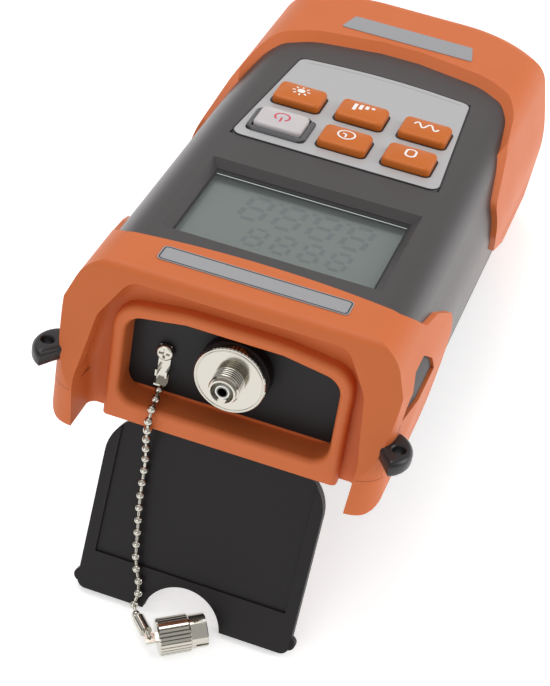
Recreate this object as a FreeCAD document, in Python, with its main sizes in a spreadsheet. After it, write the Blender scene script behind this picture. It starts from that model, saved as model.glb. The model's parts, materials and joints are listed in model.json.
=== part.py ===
import FreeCAD, Part
import math
import os
import re

import Sketcher
from FreeCAD import Placement, Rotation, Vector

# Handheld optical power meter.
#
# Case frame, used for every sketch: X across the case, Y from the connector end to the
# far end, Z from the back of the case to its display side.  The finished pieces are then
# tipped and lifted together, so that the meter stands on its open kick stand and on the
# bottom edge of its far end, with the table at Z = 0.

SIZES = [
    # the whole case
    ("case_len", 190.0, "connector end to far end"),
    ("case_tall", 45.0, "back to display face"),
    ("grey_half", 45.0, "half width of the shells at their widest line"),
    ("shoulder_in", 6.5, "how far the display face's edges lie inside the widest line"),
    ("top_half", "=grey_half - shoulder_in", "half width of the flat display face"),
    ("back_in", 2.5, "how far the back's edges lie inside the widest line"),
    ("back_half", "=grey_half - back_in", "half width of the back"),
    ("shoulder_low", 17.0, "how far the widest line lies below the display face"),
    ("wide_at", "=case_tall - shoulder_low", "height of the widest line above the back"),
    ("top_round", 9.0, "rounding between the face and the sides"),
    ("side_round", 24.0, "rounding along the widest line"),
    ("back_round", 4.0, "rounding between the back and the sides"),
    ("shell_wall", 2.4, "wall of the two shells"),
    ("shell_end", 184.0, "far end of the shells, inside the far bumper"),
    ("far_round", 34.0, "plan rounding of the far corners"),
    ("seam_at", 12.0, "height of the parting line of the case"),
    # the step at the connector end that the near bumper sleeves over
    ("neck_start", 19.5, "near end of the shells"),
    ("neck_step", 3.0, "step in the shells under the near bumper"),
    ("neck_floor", 6.5, "height of the underside of the neck"),
    ("edge_at", 28.8, "where the near bumper meets the display face, on the centre line"),
    ("edge_bow", 220.0, "radius of that boundary"),
    ("tab_land", 44.0, "half width that the shells keep under the side tabs"),
    # bumpers
    ("proud", 1.5, "how far the bumpers stand proud of the shells at the sides"),
    ("near_round", 8.0, "plan rounding of the near corners"),
    ("near_taper", 3.0, "how far the near bumper draws in at its corners"),
    ("taper_from", 24.0, "where its sides begin to draw in"),
    ("brow_at", 10.5, "front of the near bumper at its top edge"),
    ("brow_round", 3.5, "rounding of that edge"),
    ("horn_tall", 11.0, "height of the upright face of the horns"),
    ("horn_round", 5.0, "rounding between the upright face and the brow"),
    ("edge_drop", 3.4, "how far the bumper's boundary bows back at the shoulders"),
    ("tab_dip", 33.0, "lowest point between the boundary and the side tabs"),
    ("tab_dip_high", 38.6, "height of that point"),
    ("tab_hump", 43.0, "place of the highest point of the side tabs"),
    ("tab_hump_high", 36.6, "height of that point"),
    ("tab_end", 54.0, "far end of the side tabs"),
    ("tab_high", 31.0, "top of the end of the side tabs"),
    ("tab_low", 14.0, "bottom of the end of the side tabs"),
    ("tab_round", 3.0, "rounding of the outline of the side tabs"),
    ("seam_high", 25.0, "height of the bumper's parting line along its sides"),
    ("lip_at", 9.0, "front of the lip round the connector recess"),
    ("lip_wide", 3.4, "width of that lip"),
    ("lip_round", 1.5, "rounding of both rims of that lip"),
    ("groove_at", 12.8, "bottom of the groove round the lip"),
    ("horn_inner", 36.5, "inner face of the horns"),
    ("open_half", 28.4, "half width of the connector recess"),
    ("open_low", 5.4, "floor of the connector recess"),
    ("open_high", 33.5, "roof of the connector recess"),
    ("open_sag", 2.6, "how far the roof of the recess comes down at its corners"),
    ("open_round", 5.0, "corner radius of the connector recess"),
    ("roof_round", 50.0, "rounding along the arch of the roof"),
    ("slot_from", 10.0, "near end of the grip window"),
    ("slot_to", 36.0, "far end of the grip window"),
    ("slot_rise", 9.0, "height of the grip window"),
    ("far_over", 2.6, "how far the far bumper stands over the display face"),
    ("far_tall", "=case_tall + far_over", "height of the far bumper"),
    ("arm_end", 104.0, "near end of the arms of the far bumper"),
    ("arm_rise", 138.0, "where the arms reach the top of the far bumper"),
    ("far_edge_top", 6.0, "rounding of the far bumper's top edge"),
    ("far_edge_low", 5.0, "rounding of the far bumper's bottom edge, which the meter stands on"),
    ("far_edge_sunk", 1.0, "how far below the back that rounding would end"),
    ("frame_rim", 2.0, "width of the far bumper's frame beside the face, at its near end"),
    ("ridge_half", "=grey_half + proud - frame_rim", "half width inside that frame"),
    ("ridge_at", 159.4, "inner edge of the far bumper's frame on the centre line"),
    ("ridge_bow", 4.2, "bow of that edge"),
    ("ridge_round", 18.0, "rounding along that edge"),
    ("ridge_deep", 7.0, "how far the frame's sloping inner wall reaches down"),
    # strap eyelets
    ("lug_at", 4.0, "place of the strap eyelets along the case"),
    ("lug_low", 15.0, "underside of the strap eyelets"),
    ("lug_thick", 7.0, "thickness of the strap eyelets"),
    ("lug_out", 50.0, "half width over the strap eyelets"),
    ("lug_half", 7.5, "radius of the outline of the strap eyelets"),
    ("lug_rim", 1.6, "rounding of the rims of the strap eyelets"),
    ("lug_root", 38.0, "inner end of the root of the strap eyelets"),
    ("lug_hole", 1.7, "radius of the strap holes"),
    ("lug_hole_in", 3.6, "strap hole centre from the tip"),
    # connector panel
    ("panel_at", 17.0, "front of the connector panel"),
    ("port_high", 20.6, "height of the port's axis"),
    ("boss_half", 9.7, "radius of the raised seat of the port"),
    ("boss_out", 3.9, "how far the seat stands off the panel"),
    ("spigot_half", 5.0, "radius of the adapter's threaded spigot"),
    ("flange_half", 9.6, "radius of the adapter's knurled flange"),
    ("flange_thick", 2.4, "thickness of the flange"),
    ("nose_half", 4.0, "radius of the M8 nose"),
    ("nose_len", 5.6, "length of the M8 nose"),
    ("nose_bore", 3.05, "radius of the bore of the nose"),
    ("collar_half", 3.55, "radius of the end collar of the nose"),
    ("collar_len", 1.1, "length of the end collar"),
    ("sleeve_half", 1.9, "outer radius of the ferrule sleeve"),
    ("ferrule_half", 1.25, "radius of the ferrule bore"),
    ("teeth", 60, "knurl teeth on the flange"),
    ("post_at", -19.0, "chain screw across the panel"),
    ("post_high", 19.4, "chain screw height"),
    # chain and dust cap
    ("bead_half", 1.2, "radius of the chain's beads"),
    ("bead_pitch", 3.4, "spacing of the beads"),
    ("link_half", 0.42, "radius of the links between the beads"),
    ("coupling_len", 5.2, "length of the sleeve round the last beads"),
    ("loop_half", 1.35, "radius of the loop through the cap's eye"),
    ("loop_wire", 0.32, "radius of that loop's wire"),
    ("cap_half", 5.0, "radius of the dust cap's knurled body"),
    ("cap_len", 8.6, "length of the knurled body"),
    ("cap_skirt_half", 4.5, "radius of the cap's slotted skirt"),
    ("cap_skirt_len", 4.4, "length of the slotted skirt"),
    ("cap_flutes", 30, "flutes on the dust cap"),
    ("cap_bore", 4.06, "radius of the cap's bore, an easy push over the nose"),
    ("cap_turn", 33.0, "turn of the cap on the table, degrees"),
    ("cap_across", 2.5, "place of the cap across the table, from the centre line"),
    ("cap_along", -20.6, "place of the cap on the table, ahead of the near end"),
    # display
    ("glass_half", 27.4, "half width of the visible display"),
    ("glass_from", 33.8, "near edge of the visible display"),
    ("glass_to", 70.4, "far edge of the visible display"),
    ("bevel_side", 2.4, "width of the bevel beside the display"),
    ("bevel_near", 1.2, "width of the bevel at the near edge"),
    ("bevel_far", 2.4, "width of the bevel at the far edge"),
    ("lens_thick", 1.4, "thickness of the display window"),
    ("module_thick", 2.8, "thickness of the display module"),
    # keypad
    ("pad_from", 87.0, "near edge of the keypad panel"),
    ("pad_to", 140.2, "far edge of the keypad panel at its corners"),
    ("pad_bow", 2.0, "how far the keypad panel's far edge bows out"),
    ("pad_near_half", 30.2, "half width of the keypad panel at its near edge"),
    ("pad_far_half", 26.2, "half width of the keypad panel at its far edge"),
    ("pad_thick", 0.7, "thickness of the keypad panel"),
    ("key_near", 98.0, "near row of keys"),
    ("key_row", 17.0, "spacing of the two rows"),
    ("key_pitch", 18.7, "spacing of the keys in a row"),
    ("key_wide", 14.0, "width of a key"),
    ("key_long", 10.6, "length of a key"),
    ("key_out", 2.4, "how far a key stands over the face"),
    ("key_gap", 0.25, "clearance round a key"),
    ("key_travel", 1.0, "travel of a key"),
    ("bezel_rim", 1.7, "width of the bezel round the power key"),
    ("board_half", 31.5, "half width of the circuit board"),
    ("board_from", 31.0, "near edge of the circuit board"),
    ("board_to", 146.0, "far edge of the circuit board"),
    ("board_thick", 1.6, "thickness of the circuit board"),
    ("mat_half", 27.0, "half width of the mat under the keys"),
    # kick stand
    ("pin_at", 16.0, "stand pin along the case"),
    ("pin_high", 2.0, "stand pin height over the back"),
    ("pin_half", 1.0, "radius of the stand pin"),
    ("pin_play", 0.05, "running clearance on the stand pin"),
    ("barrel_half", 1.9, "radius of the stand's barrel"),
    ("barrel_len", 31.0, "length of the stand's barrel"),
    ("plate_half", 30.0, "half width of the stand's plate"),
    ("plate_thick", 3.0, "thickness of the stand's plate"),
    ("plate_start", 3.4, "top of the plate from the pin"),
    ("plate_len", 55.5, "free edge of the plate from the pin"),
    ("plate_round", 12.0, "upper corner radius of the plate"),
    ("notch_half", 11.0, "radius of the thumb notch"),
    ("lean", 16.4, "lean of the open stand past square to the back, degrees"),
    # battery bay
    ("bay_from", 97.0, "near end of the battery bay"),
    ("cell_spare", 3.5, "room for the contacts at the ends of the cells"),
    ("bay_long", "=cell_len + cell_spare", "length of the battery bay"),
    ("bay_half", 23.0, "half width of the battery bay"),
    ("bay_deep", 17.2, "depth of the battery bay"),
    ("bay_wall", 1.8, "wall of the battery bay"),
    ("door_thick", 2.2, "thickness of the battery door"),
    ("door_lap", 2.4, "how far the door laps over the bay's rim"),
    ("cell_half", 7.2, "radius of an AA cell"),
    ("cell_len", 49.5, "length of an AA cell without its button"),
    # fastenings and fits
    ("screw_at", 37.0, "case screws from the centre line"),
    ("screw_near", 80.5, "near pair of case screws"),
    ("screw_far", 132.0, "far pair of case screws"),
    ("screw_half", 1.4, "radius of a case screw"),
    ("head_half", 2.7, "radius of a screw head"),
    ("post_half", 3.2, "radius of a screw post"),
    ("fit", 0.15, "clearance between pieces that drop into each other"),
    ("label_half", 25.2, "half width of the near label plate"),
    ("label_from", 17.6, "near edge of the near label plate"),
    ("label_to", 24.2, "far edge of the near label plate"),
    ("label_thick", 0.5, "thickness of the two label plates"),
]

FUNCTIONS = {"sin", "cos", "tan", "sqrt", "atan", "asin"}
WORD = re.compile(r"[A-Za-z_][A-Za-z_0-9]*")

doc = FreeCAD.newDocument("power_meter")
sheet = doc.addObject("Spreadsheet::Sheet", "Sizes")
for row, (alias, number, note) in enumerate(SIZES, start=1):
    sheet.set("A%d" % row, note)
    sheet.set("B%d" % row, str(number))
    sheet.setAlias("B%d" % row, alias)
doc.recompute()


def value(formula):
    """Number that a formula over the sheet's names gives."""
    return float(sheet.evalExpression(str(formula)))


def bound(formula):
    """The same formula, as other objects of the document have to write it."""
    return WORD.sub(lambda m: m.group() if m.group() in FUNCTIONS else "Sizes." + m.group(), str(formula))


# ---------------------------------------------------------------- outlines for sketches
def poly(*points):
    return ("poly", points)


def rect(x0, y0, x1, y1):
    return poly((x0, y0), (x1, y0), (x1, y1), (x0, y1))


def mid_rect(half_x, y0, y1):
    return rect("-(%s)" % half_x, y0, half_x, y1)


def disc(x, y, radius):
    return ("disc", (x, y, radius))


def mirrored(*half):
    """Closed outline from its right half, listed from the bottom up."""
    left = tuple(("-(%s)" % x, y) for x, y in reversed(half))
    return poly(*(half + left))


# ---------------------------------------------------------------- edge pickers
def runs_along(axis, test=lambda middle: True):
    """Picks the straight edges that run along an axis and whose middle passes the test."""
    def pick(edge):
        if edge.Curve.TypeId != "Part::GeomLine":
            return False
        step = edge.Vertexes[-1].Point - edge.Vertexes[0].Point
        return abs(step.normalize().dot(axis)) > 0.9999 and test(edge.CenterOfMass)
    return pick


def at_level(axis, level):
    """Picks every edge that lies wholly in the plane at a level along an axis."""
    def pick(edge):
        box = edge.BoundBox
        low = Vector(box.XMin, box.YMin, box.ZMin).dot(axis)
        high = Vector(box.XMax, box.YMax, box.ZMax).dot(axis)
        return abs(low - level) < 1e-4 and abs(high - level) < 1e-4
    return pick


ACROSS, ALONG, UP = Vector(1, 0, 0), Vector(0, 1, 0), Vector(0, 0, 1)


class Piece:
    """A PartDesign body, built feature by feature from sketches bound to the sheet."""

    PLANES = {"plan": "XY_Plane", "section": "XZ_Plane", "profile": "YZ_Plane"}

    def __init__(self, label):
        self.body = doc.addObject("PartDesign::Body", label)
        self.body.Label = label
        self.count = 0

    def name(self, kind):
        self.count += 1
        return "%s_%s%d" % (self.body.Name, kind, self.count)

    def sketch(self, plane, level, loops, centre=None):
        """A sketch of closed loops in a plane of the case frame, at a level along its normal."""
        sk = self.body.newObject("Sketcher::SketchObject", self.name("sketch"))
        role = self.PLANES[plane]
        origin = next(f for f in self.body.Origin.OriginFeatures if f.Role == role)
        sk.AttachmentSupport = [(origin, "")]
        sk.MapMode = "FlatFace"
        sign = "-" if plane == "section" else ""
        sk.setExpression("AttachmentOffset.Base.z", bound("%s(%s)" % (sign, level)))
        if centre:
            sk.setExpression("AttachmentOffset.Base.x", bound(centre[0]))
            sk.setExpression("AttachmentOffset.Base.y", bound(centre[1]))
        for kind, data in loops:
            if kind == "poly":
                self.draw_polygon(sk, data)
            else:
                self.draw_circle(sk, data)
        return sk

    @staticmethod
    def pin_point(sk, geometry, position, x, y):
        """Fixes a point of a sketch at two formulas."""
        for kind, formula in (("DistanceX", x), ("DistanceY", y)):
            number = sk.addConstraint(
                Sketcher.Constraint(kind, -1, 1, geometry, position, value(formula)))
            sk.setExpression("Constraints[%d]" % number, bound(formula))

    def draw_polygon(self, sk, points):
        spots = [Vector(value(x), value(y), 0) for x, y in points]
        first = sk.GeometryCount
        total = len(spots)
        for i, spot in enumerate(spots):
            sk.addGeometry(Part.LineSegment(spot, spots[(i + 1) % total]), False)
        for i in range(total):
            sk.addConstraint(Sketcher.Constraint("Coincident", first + i, 2, first + (i + 1) % total, 1))
        for i, (x, y) in enumerate(points):
            self.pin_point(sk, first + i, 1, x, y)

    def draw_circle(self, sk, data):
        x, y, radius = data
        circle = Part.Circle(Vector(value(x), value(y), 0), UP, value(radius))
        number = sk.addGeometry(circle, False)
        self.pin_point(sk, number, 3, x, y)
        limit = sk.addConstraint(Sketcher.Constraint("Radius", number, value(radius)))
        sk.setExpression("Constraints[%d]" % limit, bound(radius))

    def pad(self, plane, start, end, *loops, centre=None):
        """Adds the loops' area between two levels along the plane's normal."""
        sk = self.sketch(plane, start, loops, centre)
        pad = self.body.newObject("PartDesign::Pad", self.name("pad"))
        pad.Profile = sk
        pad.setExpression("Length", bound("(%s) - (%s)" % (end, start)))
        pad.Reversed = plane == "section"
        doc.recompute()
        return pad

    def pocket(self, plane, start, end, *loops, centre=None):
        """Removes the loops' area between two levels along the plane's normal."""
        before = self.body.Shape.Volume
        sk = self.sketch(plane, start if plane == "section" else end, loops, centre)
        pocket = self.body.newObject("PartDesign::Pocket", self.name("pocket"))
        pocket.Profile = sk
        pocket.setExpression("Length", bound("(%s) - (%s)" % (end, start)))
        doc.recompute()
        if self.body.Shape.Volume > before - 1e-6:
            raise RuntimeError("nothing was cut from " + self.body.Label)
        return pocket

    def loft(self, plane, start, first, end, second):
        """Adds a straight loft between two outlines."""
        below = self.sketch(plane, start, [first])
        above = self.sketch(plane, end, [second])
        loft = self.body.newObject("PartDesign::AdditiveLoft", self.name("loft"))
        loft.Profile = below
        loft.Sections = [above]
        loft.Ruled = True
        doc.recompute()
        return loft

    def dress(self, kind, size, pick):
        """Rounds or bevels the edges that a picker chooses."""
        tip = self.body.Tip
        names = ["Edge%d" % (i + 1) for i, edge in enumerate(tip.Shape.Edges) if pick(edge)]
        if not names:
            raise RuntimeError("no edge to dress on " + self.body.Label)
        feature = self.body.newObject("PartDesign::" + kind, self.name(kind.lower()))
        feature.Base = (tip, names)
        feature.setExpression("Radius" if kind == "Fillet" else "Size", bound(size))
        doc.recompute()
        if "Invalid" in feature.State:
            raise RuntimeError("cannot dress " + feature.Name)
        return feature

    def round(self, radius, pick):
        return self.dress("Fillet", radius, pick)

    def bevel(self, size, pick):
        return self.dress("Chamfer", size, pick)

    def repeat_round(self, feature, count):
        """Repeats a feature round the axis of its own sketch."""
        pattern = self.body.newObject("PartDesign::PolarPattern", self.name("pattern"))
        pattern.Originals = [feature]
        pattern.Axis = (feature.Profile[0], ["N_Axis"])
        pattern.Angle = 360
        pattern.setExpression("Occurrences", bound(count))
        self.body.Tip = pattern
        doc.recompute()
        return pattern


# ---------------------------------------------------------------- boolean steps
def joined(name, *parts):
    fuse = doc.addObject("Part::MultiFuse", name)
    fuse.Shapes = [shape_of(part) for part in parts]
    fuse.Label = name
    doc.recompute()
    return fuse


def shared(name, *parts):
    common = doc.addObject("Part::MultiCommon", name)
    common.Shapes = [shape_of(part) for part in parts]
    common.Label = name
    doc.recompute()
    return common


def without(name, base, *tools):
    tool = shape_of(tools[0]) if len(tools) == 1 else joined(name + "_tools", *tools)
    cut = doc.addObject("Part::Cut", name)
    cut.Base = shape_of(base)
    cut.Tool = tool
    cut.Label = name
    doc.recompute()
    return cut


def shape_of(part):
    return part.body if isinstance(part, Piece) else part


def mirror_across(name, part):
    twin = doc.addObject("Part::Mirroring", name)
    twin.Source = shape_of(part)
    twin.Normal = ACROSS
    twin.Label = name
    doc.recompute()
    return twin


# ---------------------------------------------------------------- envelope of the case
def section(grow, top, low):
    """Cross section of the case, grown at the sides."""
    return mirrored(("back_half + (%s)" % grow, low),
                    ("grey_half + (%s)" % grow, "wide_at"),
                    ("top_half + (%s)" % grow, top))


def envelope(name, grow, top, low, start, end, back_round="back_round", top_round="top_round"):
    """Length of the case with that cross section and its edges rounded."""
    piece = Piece(name)
    piece.pad("section", start, end, section(grow, top, low))
    level_top, level_low, level_wide = value(top), value(low), value("wide_at")
    piece.round(top_round, runs_along(ALONG, lambda m: abs(m.z - level_top) < 1e-3))
    piece.round("side_round", runs_along(ALONG, lambda m: abs(m.z - level_wide) < 1e-3))
    piece.round(back_round, runs_along(ALONG, lambda m: abs(m.z - level_low) < 1e-3))
    return piece


def far_plan(name, half, start, end, radius, low="-2", top="case_tall + 10"):
    """Upright block whose far corners have the case's plan rounding."""
    piece = Piece(name)
    piece.pad("plan", low, top, mid_rect(half, start, end))
    far = value(end)
    piece.round(radius, runs_along(UP, lambda m: m.y > far - 1e-3))
    return piece


def at_far_rim(level, start):
    """Picks the edges round a block at a level, but for the straight one at its near end."""
    height, near = value(level), value(start)
    return lambda e: at_level(UP, height)(e) and e.CenterOfMass.y > near + 1e-3


def tab_profile(name, inner_half, outer_half):
    """Side outline of the near bumper back to the ends of its tabs, between two planes."""
    piece = Piece(name)
    piece.pad("profile", inner_half, outer_half,
              poly(("-20", "-3"), ("-20", "case_tall + 12"), ("edge_at - edge_drop", "case_tall + 12"),
                   ("edge_at - edge_drop", "case_tall"), ("tab_dip", "tab_dip_high"),
                   ("tab_hump", "tab_hump_high"), ("tab_end", "tab_high"), ("tab_end", "tab_low"),
                   ("tab_end - 4", "6"), ("edge_at", "-1"), ("edge_at", "-3")))
    dip, hump = value("tab_dip"), value("tab_hump")
    piece.round("tab_round * 2", runs_along(ACROSS, lambda m: abs(m.y - dip) < 1e-3 or abs(m.y - hump) < 1e-3))
    piece.round("tab_round", runs_along(ACROSS, lambda m: m.y > hump + 1))
    return piece


far_end_plan = far_plan("mould_plan", "grey_half + proud + 1", "neck_start - 30", "shell_end", "far_round + 2")
main_core = envelope("mould_core", "0", "case_tall", "0", "edge_at - 6", "shell_end")
neck_core = envelope("mould_neck", "-neck_step", "case_tall - neck_step", "neck_floor",
                     "neck_start", "edge_at + 4", "back_round / 2", "top_round - neck_step")
bow = Piece("mould_bow")
bow.pad("plan", "-2", "case_tall + 10", disc("0", "edge_at - edge_bow", "edge_bow"))
tab_right = tab_profile("mould_tab_right", "tab_land", "grey_half + proud + 4")
tab_left = mirror_across("mould_tab_left", tab_right)
core_block = shared("mould_core_block", without("mould_core_bowed", main_core, bow), far_end_plan)
core = without("mould_core_full", joined("mould_core_joined", core_block, neck_core), tab_right, tab_left)

# everything above the parting line, which steps up along the sides of the near bumper
upper = Piece("mould_upper")
upper.pad("profile", "-60", "60",
          poly(("-20", "horn_tall"), ("3", "horn_tall"), ("slot_from", "seam_high"),
               ("slot_to + 1.5", "seam_high"), ("tab_end - 2", "seam_at"), ("case_len + 20", "seam_at"),
               ("case_len + 20", "case_tall + 20"), ("-20", "case_tall + 20")))
straight_upper = Piece("mould_straight_upper")
straight_upper.pad("profile", "-60", "60",
                   rect("-20", "seam_at", "case_len + 20", "case_tall + 20"))

# room for the folded stand and its barrel in the back of the case
stop_at = "pin_at - (barrel_half + pin_high * sin(lean)) / cos(lean) - 0.04"
recess = Piece("mould_recess")
recess.pad("plan", "-2", "pin_high + plate_thick - barrel_half + 0.5",
           mid_rect("plate_half + 1.6", "pin_at + barrel_half - 0.4", "pin_at + plate_len + 2"))
recess.pad("plan", "-2", "pin_high + barrel_half + 0.4",
           mid_rect("barrel_len / 2 + 0.4", stop_at, "pin_at + barrel_half + 1.6"))
recess_far = value("pin_at + plate_len + 2")
recess.round("3", runs_along(UP, lambda m: m.y > recess_far - 1e-3))
pin_bore = Piece("mould_pin_bore")
pin_bore.pad("profile", "-(barrel_len / 2 + 5)", "barrel_len / 2 + 5",
             disc("pin_at", "pin_high", "pin_half"))

# ---------------------------------------------------------------- strap eyelets
def eyelet(name):
    """Flat round-ended lug with a strap hole, rooted in the bumper's corner."""
    piece = Piece(name)
    piece.pad("plan", "lug_low", "lug_low + lug_thick", disc("lug_out - lug_half", "lug_at", "lug_half"))
    piece.round("lug_rim", lambda e: e.Curve.TypeId == "Part::GeomCircle")
    piece.pad("plan", "lug_low + 0.4", "lug_low + lug_thick - 0.4",
              rect("lug_root", "lug_at - lug_half * 0.8", "lug_out - lug_half", "lug_at + lug_half * 0.8"))
    piece.pocket("plan", "lug_low - 1", "lug_low + lug_thick + 1",
                 disc("lug_out - lug_hole_in", "lug_at", "lug_hole"))
    return piece


eyelet_right = eyelet("eyelet_right")
eyelet_left = mirror_across("eyelet_left", eyelet_right)

# ---------------------------------------------------------------- near bumper
near_blank = envelope("mould_near", "proud", "case_tall", "0", "0", "tab_end + 1", "back_round")


def near_outline(name, grow):
    """Plan of the near bumper, whose sides draw in towards its rounded corners."""
    piece = Piece(name)
    piece.pad("plan", "-2", "case_tall + 10",
              mirrored(("grey_half + %s - near_taper" % grow, "0"), ("grey_half + %s" % grow, "taper_from"),
                       ("grey_half + %s" % grow, "tab_end + 5")))
    piece.round("near_round", runs_along(UP, lambda m: m.y < 1e-3))
    return piece


near_plan = near_outline("mould_near_plan", "proud")
near_side = Piece("mould_near_side")
near_side.pad("profile", "-60", "60",
              poly(("0", "-1"), ("0", "horn_tall"), ("brow_at", "case_tall + 0.05"),
                   ("tab_end + 6", "case_tall + 0.05"), ("tab_end + 6", "-1")))
near_side.round("brow_round", runs_along(ACROSS, lambda m: abs(m.y - value("brow_at")) < 1e-3))
near_side.round("horn_round", runs_along(ACROSS, lambda m: m.y < 1e-3 and m.z > 0))
beyond = Piece("mould_beyond")
beyond.pad("plan", "-2.5", "case_tall + 9", mid_rect("58", "edge_at - 8", "tab_end + 8"))
near_end = without("mould_near_end", beyond, bow, tab_profile("mould_tabs", "-60", "60"))

channel = Piece("mould_channel")
channel.pad("section", "-5", "groove_at",
            mirrored(("horn_inner", "-2"), ("horn_inner + 1.2", "horn_tall + 3"),
                     ("horn_inner - 1.5", "open_high - 2"), ("horn_inner - 8", "case_tall - 3.4")))
channel.round("5", runs_along(ALONG, lambda m: m.z > 0))
channel.round("2.6", at_level(ALONG, value("groove_at")))


def recess_outline(grow, low):
    """Arched outline of the connector recess, grown by a margin."""
    return mirrored(("open_half + %s" % grow, low), ("open_half + %s" % grow, "open_high - open_sag + %s" % grow),
                    ("open_half * 0.45", "open_high + %s" % grow))


def round_recess(piece, half, grow):
    """Rounds the corners of a recess outline and eases its arch."""
    side, roof = value(half), value("open_high - open_sag")
    piece.round("open_round + %s" % grow, runs_along(ALONG, lambda m: abs(m.x) > side - 0.01 and m.z > 0))
    piece.round("roof_round", runs_along(ALONG, lambda m: abs(m.x) < side - 5 and m.z > roof))


opening = Piece("mould_opening")
opening.pad("section", "-6", "panel_at + 0.5", recess_outline("0", "open_low"))
round_recess(opening, "open_half", "0")
lip = Piece("mould_lip")
lip.pad("section", "lip_at", "groove_at + 1", recess_outline("lip_wide", "-4"))
round_recess(lip, "open_half + lip_wide", "(lip_wide - 1)")
lip.pocket("section", "lip_at - 1", "groove_at + 2", recess_outline("0", "open_low"))
lip_front = value("lip_at")
lip.round("open_round", runs_along(ALONG, lambda m: abs(abs(m.x) - value("open_half")) < 0.01))
lip.round("lip_round", at_level(ALONG, lip_front))
panel_room = envelope("mould_panel_room", "-neck_step", "case_tall - neck_step", "neck_floor",
                      "panel_at", "neck_start + 1", "back_round / 2", "top_round - neck_step")


def grip_outline(inset):
    """D-shaped outline of the grip windows, from the parting line up."""
    low = "seam_high + %s" % inset
    return poly(("slot_from + %s" % inset, low), ("slot_to - %s" % inset, low),
                ("slot_to - 3 - %s" % inset, "seam_high + slot_rise * 0.55 - %s" % inset),
                ("(slot_from + slot_to) / 2 + 4", "seam_high + slot_rise - %s" % inset),
                ("(slot_from + slot_to) / 2 - 4", "seam_high + slot_rise - %s" % inset),
                ("slot_from + 3 + %s" % inset, "seam_high + slot_rise * 0.55 - %s" % inset))


window = Piece("mould_window")
window.pad("profile", "-60", "60", grip_outline("0"))
window_sides = without("mould_window_sides", window, core)
grip_skin = envelope("mould_grip_skin", "proud - 0.9", "case_tall", "0", "0", "tab_end + 1")
grip_plan = near_outline("mould_grip_plan", "(proud - 0.9)")
grip_block = Piece("mould_grip_block")
grip_block.pad("profile", "horn_inner + 3", "60", grip_outline("fit"))
side_grip_right = without("side_grip_right", shared("mould_grip_in", grip_skin, grip_plan, grip_block),
                          core, panel_room)
side_grip_left = mirror_across("side_grip_left", side_grip_right)
window_right = Piece("mould_window_right")
window_right.pad("profile", "horn_inner + 3", "60", grip_outline("0"))
window_left = mirror_across("mould_window_left", window_right)

near_label = Piece("near_label")
near_label.pad("plan", "case_tall - label_thick / 2", "case_tall + label_thick / 2",
               mid_rect("label_half", "label_from", "label_to"))
near_label.round("1.3", runs_along(UP))

near_full = without(
    "mould_near_full", shared("mould_near_blank", near_blank, near_plan, near_side),
    without("mould_channel_ring", channel, lip), opening, panel_room, core, near_end,
    eyelet_right, eyelet_left, window_right, window_left, near_label, recess, pin_bore)
near_bumper_upper = shared("near_bumper_upper", near_full, upper)
near_bumper_lower = without("near_bumper_lower", near_full, upper)

# ---------------------------------------------------------------- far bumper
far_blank = envelope("mould_far", "proud", "far_tall", "0", "arm_end - 2", "case_len")
far_outer = far_plan("mould_far_plan", "grey_half + proud + 2", "arm_end - 40", "case_len", "far_round + 2",
                     "-far_edge_sunk", "far_tall")
far_outer.round("far_edge_top", at_far_rim("far_tall", "arm_end - 40"))
far_outer.round("far_edge_low", at_far_rim("-far_edge_sunk", "arm_end - 40"))
far_side = Piece("mould_far_side")
far_side.pad("profile", "-60", "60",
             poly(("arm_end", "26"), ("arm_end + 1.5", "35"), ("arm_rise", "far_tall + 1"),
                  ("case_len + 5", "far_tall + 1"), ("case_len + 5", "-1"), ("arm_rise + 12", "-1"),
                  ("arm_end + 8", "17")))
far_side.round("3", runs_along(ACROSS, lambda m: m.y < value("arm_end + 3")))
frame_low = "case_tall - ridge_deep"
frame_inside = Piece("mould_frame")
frame_inside.pad("plan", frame_low, "far_tall + 1",
                 mirrored(("ridge_half + 2.5", "60"), ("ridge_half + 1.9", "arm_end + 6"),
                          ("ridge_half", "arm_end + 23"), ("ridge_half - 3.5", "ridge_at - ridge_bow * 4.4"),
                          ("ridge_half - 8.5", "ridge_at - ridge_bow * 2.7"),
                          ("ridge_half - 17.5", "ridge_at - ridge_bow"), ("6", "ridge_at")))
frame_inside.round("ridge_round", runs_along(UP, lambda m: value("arm_end + 20") < m.y < value("ridge_at - 1")))
frame_floor = value(frame_low)
frame_inside.bevel("far_tall - case_tall + ridge_deep",
                   lambda e: at_level(UP, frame_floor)(e) and e.CenterOfMass.y > value("61"))
far_label = Piece("far_label")
far_label.pad("plan", "far_tall - label_thick / 2", "far_tall + label_thick / 2",
              poly(("-20.6", "ridge_at + 2.6"), ("20.6", "ridge_at + 2.6"),
                   ("18.6", "ridge_at + 11.4"), ("-18.6", "ridge_at + 11.4")))
far_label.round("0.8", runs_along(UP))
far_full = without("mould_far_full", shared("mould_far_cut", far_blank, far_outer, far_side),
                   core, frame_inside, far_label)
far_bumper_upper = shared("far_bumper_upper", far_full, straight_upper)
far_bumper_lower = without("far_bumper_lower", far_full, straight_upper)

# ---------------------------------------------------------------- shells
main_cavity = envelope("mould_cavity", "-shell_wall", "case_tall - shell_wall", "shell_wall",
                       "edge_at + 2.4", "shell_end - shell_wall", "back_round / 2", "top_round - shell_wall")
cavity_plan = far_plan("mould_cavity_plan", "grey_half", "0", "shell_end - shell_wall", "far_round + 2 - shell_wall")
neck_cavity = envelope("mould_neck_cavity", "-(neck_step + shell_wall)", "case_tall - neck_step - shell_wall",
                       "neck_floor + shell_wall", "neck_start - 1", "edge_at + 4",
                       "1", "top_round - neck_step - shell_wall")
cavity = joined("mould_cavity_all", shared("mould_cavity_far", main_cavity, cavity_plan), neck_cavity)

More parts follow.
